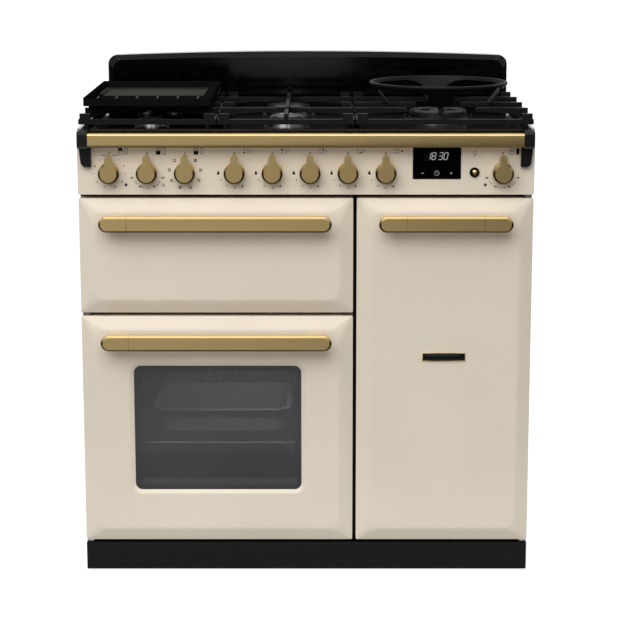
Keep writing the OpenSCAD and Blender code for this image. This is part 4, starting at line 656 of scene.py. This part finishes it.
class PrintedMarks:
    """Figures and signs printed on an upright face, gathered into one thin piece."""

    def __init__(self, face_y):
        self.shape = bmesh.new()
        self.y = face_y - INK_RISE

    def outline(self, points):
        """A flat patch through points given across and up."""
        self.shape.faces.new([self.shape.verts.new((x, self.y, z)) for x, z in points])

    def disc(self, x, z, radius, steps=14):
        turns = [2 * math.pi * k / steps for k in range(steps)]
        self.outline([(x + radius * math.cos(t), z + radius * math.sin(t)) for t in turns])

    def ring(self, x, z, radius, line, steps=20):
        for k in range(steps):
            a, b = (2 * math.pi * (k + d) / steps for d in (0, 1))
            self.outline([(x + r * math.cos(t), z + r * math.sin(t))
                          for r, t in ((radius - line, a), (radius, a), (radius, b), (radius - line, b))])

    def bar(self, x, z, width, height):
        self.outline([(x - width / 2, z - height / 2), (x + width / 2, z - height / 2),
                      (x + width / 2, z + height / 2), (x - width / 2, z + height / 2)])

    def frame_box(self, x, z, width, height, line):
        """An empty box, drawn with four bars."""
        self.bar(x, z + (height - line) / 2, width, line)
        self.bar(x, z - (height - line) / 2, width, line)
        self.bar(x - (width - line) / 2, z, line, height)
        self.bar(x + (width - line) / 2, z, line, height)

    def flame(self, x, z, height):
        """A flame with a round belly and a leaning tip."""
        turns = [math.pi * k / 8 for k in range(9)]
        belly = [(x - 0.30 * height * math.cos(t), z - 0.2 * height - 0.30 * height * math.sin(t))
                 for t in turns]
        self.outline(belly + [(x + 0.10 * height, z + 0.12 * height), (x - 0.02 * height, z + 0.5 * height),
                              (x - 0.16 * height, z + 0.15 * height)])

    def figures(self, text, x, z, height):
        flat = numeral_mesh(text, height)
        flat.transform(Matrix.Translation((x, self.y, z)) @ Matrix.Rotation(math.radians(90), 4, "X"))
        self.shape.from_mesh(flat)
        bpy.data.meshes.remove(flat)

    def finish(self, name, ink, body, slot):
        """Makes the piece from all that was printed."""
        mesh = bpy.data.meshes.new(name)
        self.shape.to_mesh(mesh)
        self.shape.free()
        mesh.materials.append(ink)
        made = bpy.data.objects.new(name, mesh)
        bpy.context.scene.collection.objects.link(made)
        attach(made, body)
        return made


clock_face_y = panel_face_y - CLOCK_RIM
clock_marks = PrintedMarks(clock_face_y)
DIGIT_HEIGHT = 0.0148
DIGIT_WIDTH = 0.0082
DIGIT_STROKE = 0.0013
DIGIT_LEAN = 0.19
SEGMENT_GAP = 0.00025
DISPLAY_UP = 0.0144
DISPLAY_WIDTH = 0.052
DISPLAY_HEIGHT = 0.0186
lit_segments = {"1": "bc", "8": "abcdefg", "3": "abcdg", "0": "abcdef"}
segment_ends = {"a": ((-1, 1), (1, 1)), "b": ((1, 1), (1, 0)), "c": ((1, 0), (1, -1)),
                "d": ((-1, -1), (1, -1)), "e": ((-1, 0), (-1, -1)), "f": ((-1, 1), (-1, 0)),
                "g": ((-1, 0), (1, 0))}


def lit_digit(marks, figure, middle_x, middle_z):
    """One leaning figure of a seven-segment display, each segment a bar with pointed ends."""
    reach_x = (DIGIT_WIDTH - DIGIT_STROKE) / 2
    reach_z = (DIGIT_HEIGHT - DIGIT_STROKE) / 2
    for segment in lit_segments[figure]:
        start, end = (Vector((x * reach_x, z * reach_z)) for x, z in segment_ends[segment])
        along = (end - start).normalized()
        start, end = start + along * SEGMENT_GAP, end - along * SEGMENT_GAP
        side = Vector((-along.y, along.x)) * DIGIT_STROKE / 2
        tip = along * DIGIT_STROKE / 2
        corners = [start, start + tip + side, end - tip + side, end, end - tip - side, start + tip - side]
        marks.outline([(middle_x + c.x + DIGIT_LEAN * c.y, middle_z + c.y) for c in corners])


clock_light = lit_plastic("clock_light", 0.2, (0.62, 0.62, 0.64), 0.52)
for figure, offset in (("1", -0.0162), ("8", -0.0062), ("3", 0.0076), ("0", 0.0176)):
    lit_digit(clock_marks, figure, clock_x + offset, clock_z + DISPLAY_UP)
clock_marks.finish("clock_figures", clock_light, "cabinet", "black_plastic")
display_window = new_finish("display_window", 0.2, specular=0.05)
tone_between(display_window, grain_of(display_window, 0.01),
             (0.0045, 0.0045, 0.0045), (0.0060, 0.0060, 0.0060))
display_marks = PrintedMarks(clock_face_y + 0.0001)
display_marks.bar(clock_x, clock_z + DISPLAY_UP, DISPLAY_WIDTH, DISPLAY_HEIGHT)
display_marks.finish("clock_display_window", display_window, "cabinet", "black_plastic")
touch_light = lit_plastic("touch_light", 0.15, (0.5, 0.5, 0.5), 0.30)
touch_marks = PrintedMarks(clock_face_y)
TOUCH_PITCH = 0.0282
TOUCH_DOWN = 0.0193
touch_z = clock_z - TOUCH_DOWN
touch_marks.bar(clock_x - TOUCH_PITCH, touch_z, 0.0052, 0.0016)
touch_marks.bar(clock_x + TOUCH_PITCH, touch_z, 0.0046, 0.0014)
touch_marks.bar(clock_x + TOUCH_PITCH, touch_z, 0.0014, 0.0046)
touch_marks.ring(clock_x, touch_z, 0.0050, 0.0009)
touch_marks.bar(clock_x, touch_z + 0.0012, 0.0007, 0.0022)
touch_marks.bar(clock_x + 0.0010, touch_z, 0.0022, 0.0007)
touch_marks.finish("clock_touch_signs", touch_light, "cabinet", "black_plastic")

# Knobs: turned brass bodies with a thumb lever, faced on the lathe and brushed upright.
# They stand off the panel on their own shafts.
knob_brass = new_finish("knob_brass", 0.3, metallic=1.0)
knob_lines = grain_of(knob_brass, 0.0003, stretch=(60.0, 1.0, 1.0), detail=2.0)
tone_between(knob_brass, knob_lines, (0.610, 0.450, 0.197), (0.640, 0.472, 0.207))
sheen_varies(knob_brass, knob_lines, 0.28, 0.35)
relief(knob_brass, knob_lines, 0.00002, 0.08)
# The knobs' slopes that face down and sideways get the same painted shade in their colour.
shade_chamfers(knob_brass)
oven_knobs = ["grill_knob", "left_oven_knob", "oven_function_knob", "right_oven_knob"]
hob_knobs = ["hob_knob_%d" % number for number in range(1, 6)]
dress(knob_brass, "light_button", *oven_knobs, *hob_knobs)
ease_edges(0.0007, "light_button", *oven_knobs, *hob_knobs)

# Dial print: figures and signs in dark brown ink on the panel round each knob.
# Gas knobs have a large flame at full gas, dots as the tap closes, and a small flame at the end.
dial_ink = new_finish("dial_ink", 0.5, specular=0.05)
ink_grain = grain_of(dial_ink, 0.001)
tone_between(dial_ink, ink_grain, (0.006, 0.005, 0.0045), (0.011, 0.010, 0.009))
KNOB_RADIUS = 0.0205
DIAL_RADIUS = 0.031
ZERO_UP = 0.038
ZERO_HEIGHT = 0.0038
GAS_DOT = 0.0012
SIGN_LINE = 0.0007
knob_centre_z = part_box("hob_knob_1")[0].z + KNOB_RADIUS


def knob_middle(name):
    low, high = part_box(name)
    return (low.x + high.x) / 2


def round_dial(x, clockwise_degrees, radius=DIAL_RADIUS):
    turn = math.radians(clockwise_degrees)
    return x + radius * math.sin(turn), knob_centre_z + radius * math.cos(turn)


def zero_mark(marks, x):
    marks.figures("0", x, knob_centre_z + ZERO_UP, ZERO_HEIGHT)


BURNER_SIGN_X = 0.0194
BURNER_SIGN_Z = 0.042
burner_signs = [(0.0, -0.003), (0.0, 0.003), (0.0069, 0.003), (0.0069, -0.003), (0.0125, 0.0)]
for index, name in enumerate(hob_knobs):
    x = knob_middle(name)
    marks = PrintedMarks(panel_face_y)
    zero_mark(marks, x)
    marks.flame(x - 0.032, knob_centre_z, 0.0092)
    for turn in (-119, -149.5, 180):
        marks.disc(*round_dial(x, turn), GAS_DOT)
    marks.flame(*round_dial(x, 150), 0.0056)
    for place, (across, up) in enumerate(burner_signs):
        spot = (x + BURNER_SIGN_X + across, knob_centre_z + BURNER_SIGN_Z + up)
        if place == index:
            marks.disc(*spot, 0.0018)
        else:
            marks.ring(*spot, 0.0017, 0.0005)
    marks.finish("dial_print_" + name, dial_ink, "cabinet", "black_paint")


BOX_WIDTH = 0.0088
TALL_BOX_WIDTH = 0.0060
TALL_BOX_HEIGHT = 0.0122


def oven_sign(marks, stacked_x, upper, lower, tall):
    """Two boxes for the ovens on the left and one for the tall oven, with the dial's own box filled."""
    for filled, low, high in ((upper, 0.0432, 0.0482), (lower, 0.0352, 0.0424)):
        z, height = knob_centre_z + (low + high) / 2, high - low
        if filled:
            marks.bar(stacked_x, z, BOX_WIDTH, height)
        else:
            marks.frame_box(stacked_x, z, BOX_WIDTH, height, SIGN_LINE)
    tall_x, tall_z = stacked_x + 0.0114, knob_centre_z + 0.0417
    if tall:
        marks.bar(tall_x, tall_z, TALL_BOX_WIDTH, TALL_BOX_HEIGHT)
    else:
        marks.frame_box(tall_x, tall_z, TALL_BOX_WIDTH, TALL_BOX_HEIGHT, SIGN_LINE)


grill_marks = PrintedMarks(panel_face_y)
grill_x = knob_middle("grill_knob")
zero_mark(grill_marks, grill_x)
for side in (-1, 1):
    grill_marks.bar(grill_x + side * 0.0114, knob_centre_z + 0.034, 0.0100, 0.0011)
    for number, turn in enumerate((36, 66, 95, 127, 159), 1):
        grill_marks.figures(str(number), *round_dial(grill_x, side * turn), 0.0036)
oven_sign(grill_marks, grill_x + 0.0222, True, False, False)
grill_marks.finish("dial_print_grill", dial_ink, "cabinet", "black_paint")


TEMPERATURES = (("100", 109, 0.0325), ("150", 154, 0.031), ("200", 206, 0.031), ("250", 251, 0.0325))
TEMPERATURE_HEIGHT = 0.0032
TEMPERATURE_DOT = 0.0011
CLEAR_OF_FIGURES = 11


def temperature_dial(name, knob, sign_offset, lower, tall):
    """Figures for the temperatures from a hundred up, with dots between them."""
    marks = PrintedMarks(panel_face_y)
    x = knob_middle(knob)
    zero_mark(marks, x)
    for label, turn, radius in TEMPERATURES:
        marks.figures(label, *round_dial(x, turn, radius), TEMPERATURE_HEIGHT)
    for step in range(16):
        turn = 98 + 10.6 * step
        if all(abs(turn - taken) > CLEAR_OF_FIGURES for _, taken, _ in TEMPERATURES):
            marks.disc(*round_dial(x, turn), TEMPERATURE_DOT)
    oven_sign(marks, x + sign_offset, False, lower, tall)
    marks.finish(name, dial_ink, "cabinet", "black_paint")


temperature_dial("dial_print_left_oven", "left_oven_knob", 0.0222, True, False)
temperature_dial("dial_print_right_oven", "right_oven_knob", 0.0178, False, True)

function_marks = PrintedMarks(panel_face_y)
function_x = knob_middle("oven_function_knob")
zero_mark(function_marks, function_x)
FUNCTION_BOX = 0.0056
ELEMENT_BAR = 0.0034
for place, turn in enumerate((41, 81, 121, 161, -161, -121, -81, -41), 1):
    sign_x, sign_z = round_dial(function_x, turn, 0.0312)
    function_marks.frame_box(sign_x, sign_z, FUNCTION_BOX, FUNCTION_BOX, 0.0009)
    if place % 2:
        function_marks.bar(sign_x, sign_z + 0.0013, ELEMENT_BAR, SIGN_LINE)
    if place % 3:
        function_marks.bar(sign_x, sign_z - 0.0014, ELEMENT_BAR, SIGN_LINE)
    if place % 4 in (1, 2):
        function_marks.ring(sign_x, sign_z, 0.0012, 0.0004, steps=10)
oven_sign(function_marks, function_x + 0.0222, False, True, False)
function_marks.finish("dial_print_function", dial_ink, "cabinet", "black_paint")

button_low, button_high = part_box("light_button")
button_x = (button_low.x + button_high.x) / 2
lamp_marks = PrintedMarks(panel_face_y)
lamp_marks.ring(button_x, knob_centre_z + 0.0386, 0.0036, 0.0006)
lamp_marks.bar(button_x, knob_centre_z + 0.0338, 0.0030, 0.0008)
lamp_marks.bar(button_x, knob_centre_z + 0.0324, 0.0022, 0.0007)
lamp_marks.finish("dial_print_lamp", dial_ink, "cabinet", "black_paint")

# Pilot lamps: a domed lens of dark or clear plastic beside each oven knob, pressed into the panel.
# It lights while the oven or the grill heats up.
PILOT_RADIUS = 0.0031
PILOT_HEIGHT = 0.0011
PILOT_DOWN = 0.0247
DOME_STEPS = 6
ROUND_STEPS = 20
for name, knob, offset_x, tint in (("grill_pilot", "grill_knob", 0.0323, (0.035, 0.045, 0.065)),
                                   ("left_oven_pilot", "left_oven_knob", 0.0320, (0.30, 0.34, 0.40)),
                                   ("right_oven_pilot", "right_oven_knob", -0.0336, (0.030, 0.034, 0.042))):
    lens = new_finish(name + "_lens", 0.12, specular=0.5)
    tone_between(lens, grain_of(lens, 0.002), tint, tuple(channel * 1.3 for channel in tint))
    rings = []
    for step in range(DOME_STEPS):
        turn = math.radians(90 * step / DOME_STEPS)
        radius = PILOT_RADIUS * math.cos(turn)
        around = [2 * math.pi * k / ROUND_STEPS for k in range(ROUND_STEPS)]
        rings.append([(knob_middle(knob) + offset_x + radius * math.cos(way),
                       panel_face_y - PILOT_HEIGHT * math.sin(turn),
                       knob_centre_z - PILOT_DOWN + radius * math.sin(way)) for way in around])
    pilot = lofted(name, rings, close_last=True)
    pilot.data.materials.append(lens)
    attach(pilot, "cabinet")

# Hob: a pressed steel tray in glossy black enamel, with a raised lip all round.
# The splashback behind it is a folded sheet of the same black enamel, its black set deeper than the tray's as
# painted shade.
gloss_black = new_finish("gloss_black_enamel", 0.09, specular=0.25)
enamel_speck = grain_of(gloss_black, 0.0006, detail=1.0)
tone_between(gloss_black, enamel_speck, (0.0036, 0.0027, 0.0024), (0.0066, 0.0052, 0.0047))
enamel_flow = grain_of(gloss_black, 0.02, detail=1.0)
relief(gloss_black, enamel_flow, 0.00005, 0.3)
dress(gloss_black, "hob_tray")
splash_shaded_black = new_finish("splash_painted_shade_enamel", 0.09, specular=0.25)
splash_speck = grain_of(splash_shaded_black, 0.0006, detail=1.0)
# The splashback's black is deeper than the tray's, as painted shade.
tone_between(splash_shaded_black, splash_speck, (0.0004, 0.0004, 0.0005), (0.0009, 0.0009, 0.0010))
dress(splash_shaded_black, "splashback")
ease_edges(0.0016, "hob_tray", segments=3)
ease_edges(0.0020, "splashback", segments=4)

# Burners: cast aluminium cups and crowns, in a dark metal tone.
# Their black enamelled steel caps lie loose on top.
burner_aluminium = new_finish("burner_aluminium", 0.26, metallic=1.0)
casting_grain = grain_of(burner_aluminium, 0.0012)
tone_between(burner_aluminium, casting_grain, (0.095, 0.092, 0.089), (0.14, 0.137, 0.134))
relief(burner_aluminium, casting_grain, 0.0001, 0.5)
dress(burner_aluminium, "burner_bases", "burner_heads")
cap_enamel = new_finish("cap_enamel", 0.32, specular=0.45)
cap_grain = grain_of(cap_enamel, 0.0009)
tone_between(cap_enamel, cap_grain, (0.006, 0.006, 0.0065), (0.011, 0.011, 0.012))
relief(cap_enamel, cap_grain, 0.0001, 0.4)
dress(cap_enamel, "burner_caps")
ease_edges(0.0006, "burner_heads", "burner_caps", segments=2)

# Pan supports, griddle and wok cradle: sand-cast iron in matt black enamel.
# The casting skin is pebbled, and stays so under the thin enamel.
cast_iron = new_finish("matt_cast_iron", 0.5, specular=0.13)
sand_grain = grain_of(cast_iron, 0.0011, detail=4.0)
tone_between(cast_iron, sand_grain, (0.0030, 0.0028, 0.0027), (0.0070, 0.0066, 0.0062))
sheen_varies(cast_iron, sand_grain, 0.38, 0.58)
relief(cast_iron, sand_grain, 0.0003, 0.7)
pan_supports = ["left_pan_support", "centre_pan_support", "right_pan_support"]
dress(cast_iron, "wok_cradle", *pan_supports)
ease_edges(0.0012, *pan_supports, segments=2)

# Griddle: a cast-iron plate with a raised rim, that stands on the left pan support.
# A lighter grey band across the flat of its plate is a painted reflection, and the six low ribs that run along the
# front are a lighter grey as a painted highlight.
GRIDDLE_PLATE_Z = 0.9455
RIBS_BACK_Y = 0.010
REFLECTION_BAND_FRONT_Y = 0.076
REFLECTION_BAND_BACK_Y = 0.224
griddle_iron = new_finish("griddle_iron", 0.6, specular=0.0)
griddle_grain = grain_of(griddle_iron, 0.0011, detail=4.0)
relief(griddle_iron, griddle_grain, 0.0003, 0.5)
REFLECTION_BAND_FADE = 0.003
# Painted reflection: the plate's flat top, between two depths, gets a lighter grey with soft ends.
painted_reflection_band, _ = patch_where(griddle_iron, "Object", [("Z", GRIDDLE_PLATE_Z + 0.0020, GRIDDLE_PLATE_Z + 0.0010),
                                                 ("Y", REFLECTION_BAND_FRONT_Y, REFLECTION_BAND_FRONT_Y + REFLECTION_BAND_FADE),
                                                 ("Y", REFLECTION_BAND_BACK_Y + REFLECTION_BAND_FADE, REFLECTION_BAND_BACK_Y)])
tone_between(griddle_iron, painted_reflection_band, (0.0062, 0.0057, 0.0055), (0.052, 0.050, 0.044), low=0.1, high=0.9)
dress(griddle_iron, "griddle")
ease_edges(0.0014, "griddle", "wok_cradle")
# The ribs' lighter grey is a painted highlight.
painted_highlight_iron = new_finish("painted_highlight_iron", 0.5, specular=0.1)
tone_between(painted_highlight_iron, grain_of(painted_highlight_iron, 0.001), (0.052, 0.050, 0.044), (0.066, 0.063, 0.056))
front_ribs = bmesh.new()
RIB_HALF_WIDTH = 0.0016
RIBS_FRONT_Y = -0.150
RIB_TOP = 0.0007
RIB_ROOT = 0.0002
for rib_x in (-0.4355, -0.3965, -0.3540, -0.3115, -0.2690, -0.2270):
    foot = [(rib_x - RIB_HALF_WIDTH, RIBS_FRONT_Y), (rib_x + RIB_HALF_WIDTH, RIBS_FRONT_Y),
            (rib_x + RIB_HALF_WIDTH, RIBS_BACK_Y), (rib_x - RIB_HALF_WIDTH, RIBS_BACK_Y)]
    lower = [front_ribs.verts.new((x, y, GRIDDLE_PLATE_Z - RIB_ROOT)) for x, y in foot]
    upper = [front_ribs.verts.new((x, y, GRIDDLE_PLATE_Z + RIB_TOP)) for x, y in foot]
    front_ribs.faces.new(upper)
    for i in range(4):
        j = (i + 1) % 4
        front_ribs.faces.new((lower[i], lower[j], upper[j], upper[i]))
rib_mesh = bpy.data.meshes.new("griddle_front_ribs")
front_ribs.to_mesh(rib_mesh)
front_ribs.free()
rib_mesh.materials.append(painted_highlight_iron)
griddle_ribs = bpy.data.objects.new("griddle_front_ribs", rib_mesh)
bpy.context.scene.collection.objects.link(griddle_ribs)
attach(griddle_ribs, "griddle_body")

# Oven shelves: chromed wire, welded, on wire ladders at the ovens' sides.
# The grill pan's trivet is made in the same way.
chrome_wire = new_finish("chrome_wire", 0.12, metallic=1.0)
plating = grain_of(chrome_wire, 0.01, detail=1.0)
tone_between(chrome_wire, plating, (0.60, 0.60, 0.61), (0.70, 0.70, 0.71))
sheen_varies(chrome_wire, plating, 0.10, 0.18)
dress(chrome_wire, "shelf_supports", "left_shelf_upper", "left_shelf_lower", "right_shelf_upper",
      "right_shelf_lower", "grill_trivet")

# Roasting tin and grill pan: pressed steel in dark grey enamel with a fine white fleck.
# The tin stands on the left oven's upper shelf, and the pan hangs in the glide-out grill.
tin_enamel = new_finish("tin_enamel", 0.16, specular=0.5)
tin_fleck = grain_of(tin_enamel, 0.002, detail=0.0)
tone_between(tin_enamel, tin_fleck, (0.070, 0.071, 0.076), (0.20, 0.20, 0.21), low=0.72, high=0.8)
dress(tin_enamel, "roasting_tin", "grill_pan")
ease_edges(0.0008, "roasting_tin", "grill_pan", segments=2)

# Oven light: a lamp above the left oven's door that shines back and down on the shelf and the tin.
# It shows them through the smoked glass, and the chrome doesn't mirror it.
shelf_low, shelf_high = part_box("left_shelf_upper")
oven_light_x = shelf_high.x - 0.140
oven_light_y = shelf_low.y + 0.010
oven_light_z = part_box("left_door_panel")[1].z - 0.060
oven_light = soft_box("oven_light", (oven_light_x, oven_light_y, oven_light_z),
                      (oven_light_x - 0.05, oven_light_y + 0.16, oven_light_z - 0.20), 0.30, 0.08, 5)
oven_light.visible_glossy = False

# Elements and fans: heating rods in dull heat-tinted steel, and fan blades of bright rolled steel.
# The fans turn on their motors' shafts behind the baffles.
element_sheath = new_finish("element_sheath", 0.48, metallic=0.8)
heat_tint = grain_of(element_sheath, 0.03)
tone_between(element_sheath, heat_tint, (0.10, 0.085, 0.075), (0.19, 0.165, 0.15))
dress(element_sheath, "elements_and_lamps")
fan_steel = new_finish("fan_steel", 0.3, metallic=1.0)
rolled = grain_of(fan_steel, 0.0006, stretch=(40.0, 1.0, 1.0))
tone_between(fan_steel, rolled, (0.42, 0.42, 0.43), (0.52, 0.52, 0.53))
dress(fan_steel, "left_fan_blade", "right_fan_blade")

# Feet and rollers: moulded black nylon, out of sight behind the plinth.
# The feet screw out to level the cooker, and it rolls out on the rear rollers.
nylon = new_finish("black_nylon", 0.55, specular=0.35)
mould_grain = grain_of(nylon, 0.0008)
tone_between(nylon, mould_grain, (0.010, 0.010, 0.010), (0.018, 0.018, 0.018))
relief(nylon, mould_grain, 0.0001, 0.5)
dress(nylon, "left_foot", "right_foot", "rear_rollers")
